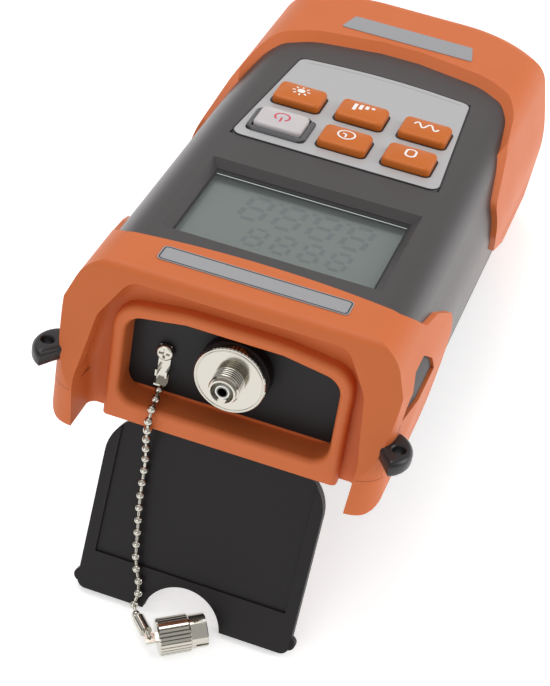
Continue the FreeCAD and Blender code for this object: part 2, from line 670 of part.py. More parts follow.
key_places = {
    "power_key": ("-key_pitch", "key_near"),
    "auto_off_key": ("0", "key_near"),
    "zero_key": ("key_pitch", "key_near"),
    "light_key": ("-key_pitch", "key_near + key_row"),
    "decibel_key": ("0", "key_near + key_row"),
    "wavelength_key": ("key_pitch", "key_near + key_row"),
}


def key_outline(place, grow):
    x, y = place
    return rect("%s - key_wide / 2 - (%s)" % (x, grow), "%s - key_long / 2 - (%s)" % (y, grow),
                "%s + key_wide / 2 + (%s)" % (x, grow), "%s + key_long / 2 + (%s)" % (y, grow))


screw_places = [(side, y) for y in ("screw_near", "screw_far") for side in ("-screw_at", "screw_at")]
board_places = [(side, y) for y in ("79.5", "143.5") for side in ("-28.5", "28.5")]

inner_top = "case_tall - shell_wall"
board_top = "case_tall - shell_wall - lens_thick - module_thick"

window_cut = Piece("mould_display")
window_cut.pad("plan", "case_tall - shell_wall - 1", "case_tall - shell_wall + 0.3",
               mid_rect("glass_half", "glass_from", "glass_to"))
window_cut.loft("plan", "case_tall - shell_wall + 0.3", mid_rect("glass_half", "glass_from", "glass_to"),
                "case_tall + 0.2",
                mid_rect("glass_half + bevel_side", "glass_from - bevel_near", "glass_to + bevel_far"))

pad_outline = mirrored(("pad_near_half", "pad_from"), ("pad_far_half", "pad_to"),
                       ("pad_far_half * 0.5", "pad_to + pad_bow * 0.75"),
                       ("pad_far_half * 0.17", "pad_to + pad_bow"))
pad_recess = Piece("mould_pad_recess")
pad_recess.pad("plan", "case_tall - pad_thick + 0.2", "case_tall + 1", pad_outline)
key_cuts = Piece("mould_key_cuts")
key_cuts.pad("plan", "case_tall - 6", "case_tall + 6",
             *[key_outline(place, "bezel_rim" if label == "power_key" else "key_gap")
               for label, place in key_places.items()])
key_cuts.round("1.8", runs_along(UP))

posts = Piece("mould_posts")
posts.pad("plan", "seam_at + 0.1", inner_top + " + 0.4",
          *[disc(x, y, "post_half") for x, y in screw_places])
posts.pad("plan", board_top, inner_top + " + 0.4", *[disc(x, y, "2.2") for x, y in board_places])
post_holes = Piece("mould_post_holes")
post_holes.pad("plan", "-1", "seam_at + 14", *[disc(x, y, "screw_half") for x, y in screw_places])
post_holes.pad("plan", board_top + " - 3", board_top + " + 3",
               *[disc(x, y, "0.9") for x, y in board_places])

walls = without("mould_walls", core, cavity)
front_walls = joined("mould_front_walls", shared("mould_front_blank", walls, upper),
                     shared("mould_posts_in", posts, core))
front_shell = without("front_shell", front_walls, window_cut, pad_recess, key_cuts, post_holes)

pan = Piece("mould_pan")
pan.pad("plan", "0", "pin_high + plate_thick - barrel_half + 2.6",
        mid_rect("plate_half + 3.6", "edge_at + 0.5", "pin_at + plate_len + 4"))
rear_posts = Piece("mould_rear_posts")
rear_posts.pad("plan", "0.2", "seam_at", *[disc(x, y, "post_half + 1.2") for x, y in screw_places])
bay = Piece("mould_bay")
bay.pad("plan", "0.2", "bay_deep + bay_wall",
        mid_rect("bay_half + bay_wall + door_lap", "bay_from - bay_wall - door_lap",
                 "bay_from + bay_long + bay_wall + door_lap"))
bay_room = Piece("mould_bay_room")
bay_room.pad("plan", "-2", "bay_deep", mid_rect("bay_half", "bay_from", "bay_from + bay_long"))
bay_room.pad("plan", "-2", "door_thick + 0.2",
             mid_rect("bay_half + door_lap", "bay_from - door_lap", "bay_from + bay_long + door_lap"))
head_cuts = Piece("mould_head_cuts")
head_cuts.pad("plan", "-1", "3.2", *[disc(x, y, "head_half + fit") for x, y in screw_places])
rear_walls = joined("mould_rear_walls", without("mould_rear_blank", walls, upper),
                    shared("mould_pan_in", pan, core), rear_posts, bay)
rear_shell = without("rear_shell", rear_walls, recess, bay_room, head_cuts, post_holes)

# ---------------------------------------------------------------- connector panel
panel = envelope("connector_panel", "-(neck_step + fit)", "case_tall - neck_step - fit",
                 "neck_floor + fit", "panel_at", "neck_start", "back_round / 2",
                 "top_round - neck_step")
panel.pad("section", "panel_at - boss_out", "panel_at + 0.2", disc("0", "port_high", "boss_half"))
panel.pad("section", "neck_start - 0.2", "neck_start + 7.5", disc("0", "port_high", "6.6"))
panel.pocket("section", "panel_at - boss_out - 1", "neck_start", disc("0", "port_high", "spigot_half"))
panel.pocket("section", "neck_start - 0.5", "neck_start + 9", disc("0", "port_high", "2.9"))
panel.pocket("section", "panel_at - 1", "neck_start + 1", disc("post_at", "post_high", "0.9"))
panel.bevel("0.5", lambda e: at_level(ALONG, value("panel_at - boss_out"))(e)
            and e.Length > value("spigot_half") * 7)

# ---------------------------------------------------------------- adapter, sleeve, detector
flange_at = "panel_at - boss_out - flange_thick"
nose_end = flange_at + " - nose_len"
port = ("0", "port_high")
adapter = Piece("port_adapter")
adapter.pad("section", flange_at, flange_at + " + flange_thick", disc("0", "port_high", "flange_half"))
adapter.bevel("0.25", lambda e: e.Curve.TypeId == "Part::GeomCircle")
adapter.pad("section", nose_end, flange_at + " + 0.1", disc("0", "port_high", "collar_half"))
adapter.pad("section", nose_end + " + collar_len", flange_at + " + 0.1", disc("0", "port_high", "nose_half"))
adapter.pad("section", flange_at + " + flange_thick - 0.1", "neck_start - 1.2",
            disc("0", "port_high", "spigot_half - 0.02"))
nose_edge, nose_girth = value(nose_end + " + collar_len"), value("collar_half + nose_half") * math.pi
adapter.bevel("0.3", lambda e: at_level(ALONG, nose_edge)(e) and e.Length > nose_girth)
adapter.pocket("section", nose_end + " - 1", flange_at + " - 0.4", disc("0", "port_high", "nose_bore"))
adapter.pocket("section", nose_end + " - 1", "neck_start", disc("0", "port_high", "sleeve_half"))
adapter.pocket("section", nose_end + " - 1", nose_end + " + 1.8",
               rect("-1.05", "port_high - nose_half - 1", "1.05", "port_high - sleeve_half - 0.4"))
tooth = adapter.pocket("section", flange_at + " - 1", flange_at + " + flange_thick + 1",
                       poly(("-0.3", "flange_half + 0.4"), ("0", "flange_half - 0.35"),
                            ("0.3", "flange_half + 0.4")), centre=("0", "port_high"))
adapter.repeat_round(tooth, "teeth")

sleeve = Piece("ferrule_sleeve")
sleeve.pad("section", nose_end + " + 0.3", "neck_start - 0.6", disc("0", "port_high", "sleeve_half"),
           disc("0", "port_high", "ferrule_half"))
detector = Piece("detector")
detector.pad("section", "neck_start", "neck_start + 3.6", disc("0", "port_high", "2.35"))
detector.pad("section", "neck_start + 3.5", "neck_start + 4.3", disc("0", "port_high", "2.8"))
detector.pad("section", "neck_start + 4.2", "neck_start + 8.6",
             *[disc("%g" % x, "port_high + %g" % y, "0.23") for x, y in ((-1.2, 0), (1.2, 0), (0, 1.2))])
detector_board = Piece("detector_board")
detector_board.pad("section", "neck_start + 7.5", "neck_start + 8.7",
                   rect("-8", "port_high - 8", "8", "port_high + 8"),
                   *[disc("%g" % x, "port_high + %g" % y, "0.25") for x, y in ((-1.2, 0), (1.2, 0), (0, 1.2))])

# ---------------------------------------------------------------- display and keypad
lens = Piece("display_window")
lens.pad("plan", inner_top + " - lens_thick", inner_top, mid_rect("glass_half + 2", "glass_from - 2", "glass_to + 2"))
module = Piece("display_module")
module.pad("plan", board_top, inner_top + " - lens_thick",
           mid_rect("glass_half + 2", "glass_from - 2", "glass_to + 3.5"))
module.pocket("plan", inner_top + " - lens_thick - 0.3", inner_top + " - lens_thick + 1",
              mid_rect("glass_half - 0.4", "glass_from + 0.4", "glass_to - 0.4"))

keypad = Piece("keypad_panel")
keypad.pad("plan", "case_tall - pad_thick + 0.2", "case_tall + 0.2", pad_outline)
keypad.round("3", runs_along(UP, lambda m: abs(m.x) > value("pad_far_half") - 0.01))
keypad.pocket("plan", "case_tall - pad_thick - 1", "case_tall + 1",
              *[key_outline(place, "bezel_rim" if label == "power_key" else "key_gap")
                for label, place in key_places.items()])
keypad.round("1.8", runs_along(UP, lambda m: value("pad_from") + 3 < m.y < value("pad_to") - 3
                               and abs(m.x) < value("key_pitch + key_wide / 2 + bezel_rim") + 0.1))

bezel = Piece("power_key_bezel")
bezel.pad("plan", inner_top + " + 0.2", "case_tall + 0.2", key_outline(key_places["power_key"], "bezel_rim - 0.02"))
bezel.round("1.8", runs_along(UP))
bezel.pad("plan", "case_tall + 0.1", "case_tall + 1.1", key_outline(key_places["power_key"], "bezel_rim - 0.02"))
bezel.bevel("2.2", runs_along(UP, lambda m: m.z > value("case_tall + 0.25")))
bezel.bevel("0.45", at_level(UP, value("case_tall + 1.1")))
bezel.pocket("plan", inner_top + " - 1", "case_tall + 3", key_outline(key_places["power_key"], "key_gap"))


def key(label, place):
    """Key cap with the flange that holds it under the shell."""
    piece = Piece(label)
    piece.pad("plan", inner_top + " - 1", "case_tall + key_out", key_outline(place, "0"))
    piece.round("1.8", runs_along(UP))
    piece.round("0.9", at_level(UP, value("case_tall + key_out")))
    piece.pad("plan", inner_top + " - 1.05", inner_top + " - 0.05", key_outline(place, "1.2"))
    return piece


keys = [key(label, place) for label, place in key_places.items()]

mat = Piece("keypad_mat")
mat.pad("plan", board_top, board_top + " + 0.9", mid_rect("mat_half", "pad_from + 2", "pad_to - 2"))
mat.pad("plan", board_top + " + 0.8", inner_top + " - 1.05 - key_travel - 0.3",
        *[disc(x, y, "4") for x, y in key_places.values()])
board = Piece("circuit_board")
board.pad("plan", board_top + " - board_thick", board_top, mid_rect("board_half", "board_from", "board_to"))
board.pocket("plan", board_top + " - board_thick - 1", board_top + " + 1",
             *[disc(x, y, "1") for x, y in board_places])
chips = Piece("board_parts")
chips.pad("plan", board_top + " - board_thick - 2.4", board_top + " - board_thick",
          rect("-8", "48", "8", "64"), rect("-22", "96", "-12", "104"), rect("10", "84", "22", "90"),
          rect("14", "50", "24", "54"))
board_screws = Piece("board_screws")
board_screws.pad("plan", board_top + " - board_thick - 1.5", board_top + " - board_thick",
                 *[disc(x, y, "1.9") for x, y in board_places])
board_screws.pad("plan", board_top + " - board_thick - 0.1", board_top + " + 2.4",
                 *[disc(x, y, "0.88") for x, y in board_places])

# ---------------------------------------------------------------- back of the case
door = Piece("battery_door")
door.pad("plan", "0", "door_thick",
         mid_rect("bay_half + door_lap - 0.25", "bay_from - door_lap + 0.35",
                  "bay_from + bay_long + door_lap - 0.25"))
door.round("0.7", lambda e: at_level(ALONG, value("bay_from - door_lap + 0.35"))(e)
           and e.BoundBox.XLength > 10)
door.pocket("plan", "-1", "0.8", *[mid_rect("7", "bay_from + bay_long - 8 + %g" % (step * 2.2),
                                            "bay_from + bay_long - 7 + %g" % (step * 2.2))
                                   for step in range(3)])
cells = Piece("batteries")
cell_rows = ("-cell_half * 2 - 0.3", "0", "cell_half * 2 + 0.3")
cell_high = "door_thick + 0.6 + cell_half"
cells.pad("section", "bay_from + 1.4", "bay_from + 1.4 + cell_len",
          *[disc(x, cell_high, "cell_half") for x in cell_rows])
cells.round("0.6", lambda e: e.Curve.TypeId == "Part::GeomCircle")
cells.pad("section", "bay_from + 1.3 + cell_len", "bay_from + 2.4 + cell_len",
          *[disc(x, cell_high, "2.7") for x in cell_rows])
contacts = Piece("battery_contacts")
contacts.pad("section", "bay_from + 0.05", "bay_from + 0.55",
             *[rect("%s - 4" % x, "5", "%s + 4" % x, "15") for x in cell_rows])
contacts.pad("section", "bay_from + 0.5", "bay_from + 1.35", *[disc(x, cell_high, "2") for x in cell_rows])
far_contacts = Piece("mould_far_contacts")
far_contacts.pad("section", "bay_from + bay_long - 0.55", "bay_from + bay_long - 0.05",
                 *[rect("%s - 4" % x, "5", "%s + 4" % x, "15") for x in cell_rows])
far_contacts.pad("section", "bay_from + 2.45 + cell_len", "bay_from + bay_long - 0.5",
                 *[disc(x, cell_high, "2") for x in cell_rows])

case_screws = Piece("case_screws")
case_screws.pad("plan", "0.9", "3.2", *[disc(x, y, "head_half") for x, y in screw_places])
case_screws.pad("plan", "3.1", "seam_at + 11", *[disc(x, y, "screw_half - 0.02") for x, y in screw_places])
case_screws.pocket("plan", "0", "2.2",
                   *[poly((x + " - 0.4", y + " - 1.7"), (x + " + 0.4", y + " - 1.7"), (x + " + 0.4", y + " - 0.4"),
                          (x + " + 1.7", y + " - 0.4"), (x + " + 1.7", y + " + 0.4"), (x + " + 0.4", y + " + 0.4"),
                          (x + " + 0.4", y + " + 1.7"), (x + " - 0.4", y + " + 1.7"), (x + " - 0.4", y + " + 0.4"),
                          (x + " - 1.7", y + " + 0.4"), (x + " - 1.7", y + " - 0.4"), (x + " - 0.4", y + " - 0.4"))
                     for x, y in screw_places])

# ---------------------------------------------------------------- kick stand, drawn folded
stand = Piece("kick_stand")
plate_low = "pin_high - barrel_half"
stand.pad("plan", plate_low, plate_low + " + plate_thick",
          mid_rect("plate_half", "pin_at + plate_start", "pin_at + plate_len"))
near_edge, free_edge = value("pin_at + plate_start"), value("pin_at + plate_len")
stand.round("plate_round", runs_along(UP, lambda m: m.y < near_edge + 1e-3))
stand.round("2.5", runs_along(UP, lambda m: m.y > free_edge - 1e-3))
stand.pad("plan", plate_low, plate_low + " + plate_thick",
          mid_rect("barrel_len / 2", "pin_at", "pin_at + plate_start + 1"))
stand.pad("profile", "-barrel_len / 2", "barrel_len / 2", disc("pin_at", "pin_high", "barrel_half"))
stand.pad("plan", plate_low + " + 0.5", plate_low + " + plate_thick - 0.5",
          *[disc(side + "(plate_half - 0.6)", "pin_at + plate_len - 3.2", "1.9") for side in ("-", "")])
stand.pocket("plan", plate_low + " - 1", plate_low + " + plate_thick + 1",
             disc("0", "pin_at + plate_len + 1.8", "notch_half"))
stand.pocket("plan", plate_low + " - 1", plate_low + " + 0.7",
             mid_rect("plate_half - 3.2", "pin_at + plate_start + 2.6", "pin_at + plate_len - 11.5"))
stand.pocket("profile", "-barrel_len", "barrel_len", disc("pin_at", "pin_high", "pin_half + pin_play"))

pin = Piece("stand_pin")
pin.pad("profile", "-(barrel_len / 2 + 4.6)", "barrel_len / 2 + 4.6",
        disc("pin_at", "pin_high", "pin_half - 0.01"))

# ---------------------------------------------------------------- how the meter stands
lean = math.radians(value("lean"))
leg = Vector(0, -math.sin(lean), -math.cos(lean))
leg_face = Vector(0, -math.cos(lean), math.sin(lean))
pin_axis = Vector(0, value("pin_at"), value("pin_high"))
foot = pin_axis + leg * value("plate_len") - leg_face * value("plate_thick - barrel_half")
heel_from = value("sqrt(far_edge_low ^ 2 - (far_edge_low - far_edge_sunk) ^ 2)")
heel = Vector(0, value("case_len - far_edge_low") + heel_from, 0)
reach = heel - foot
tip_over = Rotation(ACROSS, -math.degrees(math.atan2(reach.z, reach.y)))
standing = Placement(Vector(0, 0, -tip_over.multVec(foot).z), tip_over)
unfold = Placement(Vector(0, 0, 0), Rotation(ACROSS, -90 - value("lean")), pin_axis)

# ---------------------------------------------------------------- chain and dust cap
clip = Piece("chain_clip")
clip_low = "post_high - 9.8"
clip.pad("section", "panel_at - 0.7", "panel_at - 0.2",
         rect("post_at - 1.6", clip_low, "post_at + 1.6", "post_high + 2"))
clip.pad("section", "panel_at - 2.6", "panel_at - 0.6",
         rect("post_at - 1.6", clip_low, "post_at + 1.6", clip_low + " + 0.5"),
         rect("post_at - 1.6", "post_high - 6.9", "post_at - 1.1", "post_high - 5"),
         rect("post_at + 1.1", "post_high - 6.9", "post_at + 1.6", "post_high - 5"))
clip.pocket("section", "panel_at - 1", "panel_at", disc("post_at", "post_high", "0.95"))
clip_screw = Piece("chain_screw")
clip_screw.pad("section", "panel_at - 1.9", "panel_at - 0.7", disc("post_at", "post_high", "2.3"))
clip_screw.round("0.6", lambda e: at_level(ALONG, value("panel_at - 1.9"))(e))
clip_screw.pad("section", "panel_at - 0.8", "neck_start + 0.8", disc("post_at", "post_high", "0.88"))
clip_screw.pocket("section", "panel_at - 3", "panel_at - 1.3",
                  poly(("post_at - 0.35", "post_high - 1.5"), ("post_at + 0.35", "post_high - 1.5"),
                       ("post_at + 0.35", "post_high - 0.35"), ("post_at + 1.5", "post_high - 0.35"),
                       ("post_at + 1.5", "post_high + 0.35"), ("post_at + 0.35", "post_high + 0.35"),
                       ("post_at + 0.35", "post_high + 1.5"), ("post_at - 0.35", "post_high + 1.5"),
                       ("post_at - 0.35", "post_high + 0.35"), ("post_at - 1.5", "post_high + 0.35"),
                       ("post_at - 1.5", "post_high - 0.35"), ("post_at - 0.35", "post_high - 0.35")))

cap = Piece("dust_cap")
cap_ends = ("-(cap_len + cap_skirt_len) / 2", "(cap_len - cap_skirt_len) / 2", "(cap_len + cap_skirt_len) / 2")
cap.pad("section", cap_ends[0], cap_ends[1], disc("0", "0", "cap_half"))
cap.bevel("0.4", lambda e: e.Curve.TypeId == "Part::GeomCircle")
flute = cap.pocket("section", cap_ends[0] + " - 1", cap_ends[1] + " + 1",
                   poly(("-0.36", "cap_half + 0.3"), ("0", "cap_half - 0.4"), ("0.36", "cap_half + 0.3")))
cap.repeat_round(flute, "cap_flutes")
cap.pad("section", cap_ends[1] + " - 0.1", cap_ends[2], disc("0", "0", "cap_skirt_half"))
cap.bevel("0.2", at_level(ALONG, value(cap_ends[2])))
cap.pocket("section", cap_ends[1] + " - 1.8", cap_ends[2] + " + 1", disc("0", "0", "cap_bore"))
cap.pocket("section", cap_ends[1] + " + 1", cap_ends[2] + " + 1",
           rect("-cap_half - 1", "-0.4", "cap_half + 1", "0.4"))
cap.pocket("section", cap_ends[1] + " + 1", cap_ends[2] + " + 1",
           rect("-0.4", "-cap_half - 1", "0.4", "cap_half + 1"))
cap.pad("plan", "-0.5", "0.5", rect("-1.3", cap_ends[0] + " - 3.2", "1.3", cap_ends[0] + " + 0.1"))
cap.pocket("plan", "-1", "1", disc("0", cap_ends[0] + " - 1.9", "0.7"))
cap_on_table = Placement(Vector(value("cap_across"), value("cap_along"), value("cap_half")),
                         Rotation(UP, value("cap_turn") - 90))
eye = cap_on_table.multVec(Vector(0, value(cap_ends[0] + " - 1.9"), 0))


def beside_plate(distance, across):
    """Bead centre that lies on the outer face of the open stand."""
    away = value("barrel_half + bead_half + 0.3")
    return standing.multVec(pin_axis + leg * distance + leg_face * away + Vector(across, 0, 0))


def over_case(x, y, z):
    return standing.multVec(Vector(value(x), value(y), value(z)))


# the loop through the cap's eye, and the sleeve between it and the last beads
toward = Vector(6.6, -6.8, 1.6).normalize()
loop_centre = eye - toward * value("loop_half")
sleeve_open = loop_centre - toward * value("loop_half - 0.1 + coupling_len")
last_bead = sleeve_open + toward * value("bead_half + 0.7")
side = value("post_at")
route = [
    over_case("post_at", "panel_at - 2.1", "post_high - 11.3"),
    over_case("post_at + 0.3", "panel_at - 4.4", "open_low + bead_half + 0.9"),
    over_case("post_at + 0.6", "lip_at + 0.9", "open_low + bead_half + 0.7"),
    over_case("post_at + 0.7", "lip_at - 1.8", "open_low - 0.2"),
    over_case("post_at + 0.6", "lip_at - 1.75", "open_low - 4"),
    over_case("post_at + 0.4", "lip_at - 0.9", "-3.4"),
    beside_plate(13.5, side + 0.6), beside_plate(24, side + 1.4), beside_plate(35, side + 2.9),
    beside_plate(45, side + 4.9), beside_plate(51, side + 6.6),
    sleeve_open - toward * 4, sleeve_open, last_bead,
]
line = Part.BSplineCurve()
line.interpolate(route)
rope = line.toShape()
run = rope.Length
beads = int(run / value("bead_pitch")) + 1
spots = [line.value(line.parameterAtDistance(run * n / (beads - 1), line.FirstParameter))
         for n in range(beads)]
links = [Part.makeSphere(value("bead_half"), spot) for spot in spots]
for here, there in zip(spots, spots[1:]):
    links.append(Part.makeCylinder(value("link_half"), (there - here).Length, here, there - here))
chain = doc.addObject("Part::Feature", "chain_run")
chain.Shape = links[0].multiFuse(links[1:])

bore_len = value("coupling_len - 0.6")
coupling_tube = Part.makeCylinder(value("bead_half + 0.45"), value("coupling_len"), sleeve_open, toward)
coupling_tube = coupling_tube.cut(
    Part.makeCylinder(value("bead_half + 0.06"), bore_len + 0.1, sleeve_open - toward * 0.1, toward))
loop = Part.makeTorus(value("loop_half"), value("loop_wire"), loop_centre, toward.cross(UP).normalize())
coupling = doc.addObject("Part::Feature", "coupling_tube")
coupling.Shape = coupling_tube.fuse(loop)

# ---------------------------------------------------------------- the finished pieces
NODES = {
    "near_bumper_upper": near_bumper_upper, "near_bumper_lower": near_bumper_lower,
    "far_bumper_upper": far_bumper_upper, "far_bumper_lower": far_bumper_lower,
    "front_shell": front_shell, "rear_shell": rear_shell,
    "eyelet_left": eyelet_left, "eyelet_right": eyelet_right,
    "side_grip_left": side_grip_left, "side_grip_right": side_grip_right,
    "near_label": near_label, "far_label": far_label,
    "connector_panel": panel, "port_adapter": adapter, "ferrule_sleeve": sleeve,
    "detector": detector, "detector_board": detector_board,
    "chain_screw": clip_screw, "chain_clip": clip,
    "display_window": lens, "display_module": module,
    "keypad_panel": keypad, "power_key_bezel": bezel, "keypad_mat": mat,
    "circuit_board": board, "board_parts": chips, "board_screws": board_screws,
    "batteries": cells, "battery_contacts": (contacts, far_contacts), "case_screws": case_screws,
    "battery_door": door, "stand_pin": pin,
}
NODES.update(zip(key_places, keys))

finished = {}


def finish(label, parts, placement):
    """Gathers the solids of one piece under its own name, at its place in the standing meter."""
    group = doc.addObject("Part::Compound", "node_" + label)
    group.Links = [shape_of(part) for part in parts]
    group.Label = label
    group.Placement = placement
    finished[label] = group


for part in [item for entry in NODES.values() for item in (entry if isinstance(entry, tuple) else (entry,))]:
    shape_of(part).Label = shape_of(part).Label + "_solid"
for part in (stand, cap):
    part.body.Label = part.body.Label + "_solid"
for label, entry in NODES.items():
    finish(label, entry if isinstance(entry, tuple) else (entry,), standing)
finish("kick_stand", (stand,), standing.multiply(unfold))
finish("dust_cap", (cap,), cap_on_table)
finish("ball_chain", (chain,), Placement())
finish("chain_coupling", (coupling,), Placement())
doc.recompute()

boxes = [group.Shape.optimalBoundingBox(False) for group in finished.values()]
low = Vector(*[min(getattr(box, side) for box in boxes) for side in ("XMin", "YMin", "ZMin")])
high = Vector(*[max(getattr(box, side) for box in boxes) for side in ("XMax", "YMax", "ZMax")])
centring = Placement(Vector(-(low.x + high.x) / 2, -(low.y + high.y) / 2, 0), Rotation())
for group in finished.values():
    group.Placement = centring.multiply(group.Placement)
doc.recompute()

for thing in doc.Objects:
    if "Invalid" in thing.State or "Error" in thing.State:
        raise RuntimeError("not sound: " + thing.Label)
os.makedirs("parts", exist_ok=True)
for label, group in finished.items():
    if group.Shape.isNull() or not group.Shape.isValid() or not group.Shape.Solids:
        raise RuntimeError("no sound solid in " + label)
    group.Shape.exportStep("parts/%s.step" % label)
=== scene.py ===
"""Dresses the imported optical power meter: finishes, legends, display digits, threads, light and camera."""

import json
import logging
import math
from dataclasses import dataclass
from enum import Enum
from functools import partial
from typing import Callable, ClassVar, Sequence

import bmesh
import bpy
from mathutils import Euler, Matrix, Vector


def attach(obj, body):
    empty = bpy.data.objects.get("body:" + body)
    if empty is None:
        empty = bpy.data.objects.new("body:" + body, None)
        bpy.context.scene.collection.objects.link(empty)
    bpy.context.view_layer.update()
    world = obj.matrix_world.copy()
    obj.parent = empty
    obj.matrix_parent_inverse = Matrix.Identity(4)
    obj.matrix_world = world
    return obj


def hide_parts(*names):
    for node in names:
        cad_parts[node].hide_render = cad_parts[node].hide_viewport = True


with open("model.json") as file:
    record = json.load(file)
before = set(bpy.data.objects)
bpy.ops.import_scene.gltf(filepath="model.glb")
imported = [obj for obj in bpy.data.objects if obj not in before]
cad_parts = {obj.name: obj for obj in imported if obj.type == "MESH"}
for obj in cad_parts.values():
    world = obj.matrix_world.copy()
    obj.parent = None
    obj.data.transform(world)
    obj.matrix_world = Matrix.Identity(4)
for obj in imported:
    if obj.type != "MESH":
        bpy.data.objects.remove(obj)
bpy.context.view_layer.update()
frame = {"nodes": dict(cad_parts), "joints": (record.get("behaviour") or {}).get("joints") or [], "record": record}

LOG = logging.getLogger("power_meter")
MM = 0.001
SHARP_DEG = 35.0
METER = "meter"
Colour = tuple[float, float, float]
Point2 = tuple[float, float]
Point3 = tuple[float, float, float]
Ray = tuple[Vector, Vector]


class Relief(Enum):
    """How the fine surface of a finish is broken up."""

    SMOOTH = 0.0
    MOULDED = 1.0
    TEXTURED = 2.0


@dataclass(frozen=True)
class CaseAxes:
    """The meter's own axes: u across, v from the connector end, w out of the back, in millimetres."""

    PIN_ALONG: ClassVar[float] = 16.0
    PIN_HIGH: ClassVar[float] = 2.0

    origin: Vector
    along: Vector
    up: Vector

    @classmethod
    def from_joints(cls, joints: Sequence[dict]) -> "CaseAxes":
        """Works the axes out from the keys' travel and the stand's pin.

        Args:
            joints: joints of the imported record.

        Returns:
            The axes of the meter as it stands.
        """
        by_name = {joint["name"]: joint for joint in joints}
        up = -Vector(by_name["power_key_press"]["axis"]).normalized()
        along = up.cross(Vector((1.0, 0.0, 0.0))).normalized()
        pin = Vector(by_name["stand_hinge"]["pos_m"])
        return cls(pin - along * cls.PIN_ALONG * MM - up * cls.PIN_HIGH * MM, along, up)

    def matrix(self) -> Matrix:
        """Puts the axes together.

        Returns:
            The transform from the meter's millimetres to the row's metres.
        """
        columns = (Vector((1.0, 0.0, 0.0)), self.along, self.up)
        turn = Matrix([[axis[i] * MM for axis in columns] for i in range(3)]).to_4x4()
        return Matrix.Translation(self.origin) @ turn


# ------------------------------------------------------------------ shader groups
def new_group(name: str, inputs: Sequence[tuple[str, str, object]], outputs: Sequence[tuple[str, str]]
              ) -> tuple[bpy.types.ShaderNodeTree, bpy.types.Node, bpy.types.Node]:
    """Makes an empty shader node group.

    Args:
        name: name of the group.
        inputs: name, socket type and default value of each input.
        outputs: name and socket type of each output.

    Returns:
        The group, its input node and its output node.
    """
    group = bpy.data.node_groups.new(name, "ShaderNodeTree")
    for label, kind, default in inputs:
        socket = group.interface.new_socket(label, in_out="INPUT", socket_type=kind)
        socket.default_value = default
    for label, kind in outputs:
        group.interface.new_socket(label, in_out="OUTPUT", socket_type=kind)
    return group, group.nodes.new("NodeGroupInput"), group.nodes.new("NodeGroupOutput")


def build_moulding_group() -> bpy.types.ShaderNodeTree:
    """Builds the surface of a moulded or rubbed piece: mottled colour, uneven gloss and fine relief.

    Returns:
        A group with Color, Roughness and Height outputs.
    """
    group, start, end = new_group(
        "moulded_surface",
        [("Base", "NodeSocketColor", (0.5, 0.5, 0.5, 1.0)), ("Tint", "NodeSocketColor", (0.4, 0.4, 0.4, 1.0)),
         ("Mottle", "NodeSocketFloat", 0.3), ("Roughness", "NodeSocketFloat", 0.5),
         ("Gloss Spread", "NodeSocketFloat", 0.08), ("Grain Scale", "NodeSocketFloat", 2500.0)],
        [("Color", "NodeSocketColor"), ("Roughness", "NodeSocketFloat"), ("Height", "NodeSocketFloat")])
    broad_scale, broad_detail, grain_detail, noise_middle = 55.0, 4.0, 2.0, 0.5
    nodes, links = group.nodes, group.links
    place = nodes.new("ShaderNodeTexCoord")
    broad = nodes.new("ShaderNodeTexNoise")
    broad.inputs["Scale"].default_value = broad_scale
    broad.inputs["Detail"].default_value = broad_detail
    links.new(place.outputs["Object"], broad.inputs["Vector"])
    grain = nodes.new("ShaderNodeTexNoise")
    grain.inputs["Detail"].default_value = grain_detail
    links.new(place.outputs["Object"], grain.inputs["Vector"])
    links.new(start.outputs["Grain Scale"], grain.inputs["Scale"])
    share = nodes.new("ShaderNodeMath")
    share.operation = "MULTIPLY"
    links.new(broad.outputs["Fac"], share.inputs[0])
    links.new(start.outputs["Mottle"], share.inputs[1])
    mix = nodes.new("ShaderNodeMix")
    mix.data_type = "RGBA"
    links.new(share.outputs[0], mix.inputs["Factor"])
    links.new(start.outputs["Base"], mix.inputs["A"])
    links.new(start.outputs["Tint"], mix.inputs["B"])
    links.new(mix.outputs["Result"], end.inputs["Color"])
    centred = nodes.new("ShaderNodeMath")
    centred.operation = "SUBTRACT"
    links.new(broad.outputs["Fac"], centred.inputs[0])
    centred.inputs[1].default_value = noise_middle
    gloss = nodes.new("ShaderNodeMath")
    gloss.operation = "MULTIPLY_ADD"
    links.new(centred.outputs[0], gloss.inputs[0])
    links.new(start.outputs["Gloss Spread"], gloss.inputs[1])
    links.new(start.outputs["Roughness"], gloss.inputs[2])
    links.new(gloss.outputs[0], end.inputs["Roughness"])
    links.new(grain.outputs["Fac"], end.inputs["Height"])
    return group


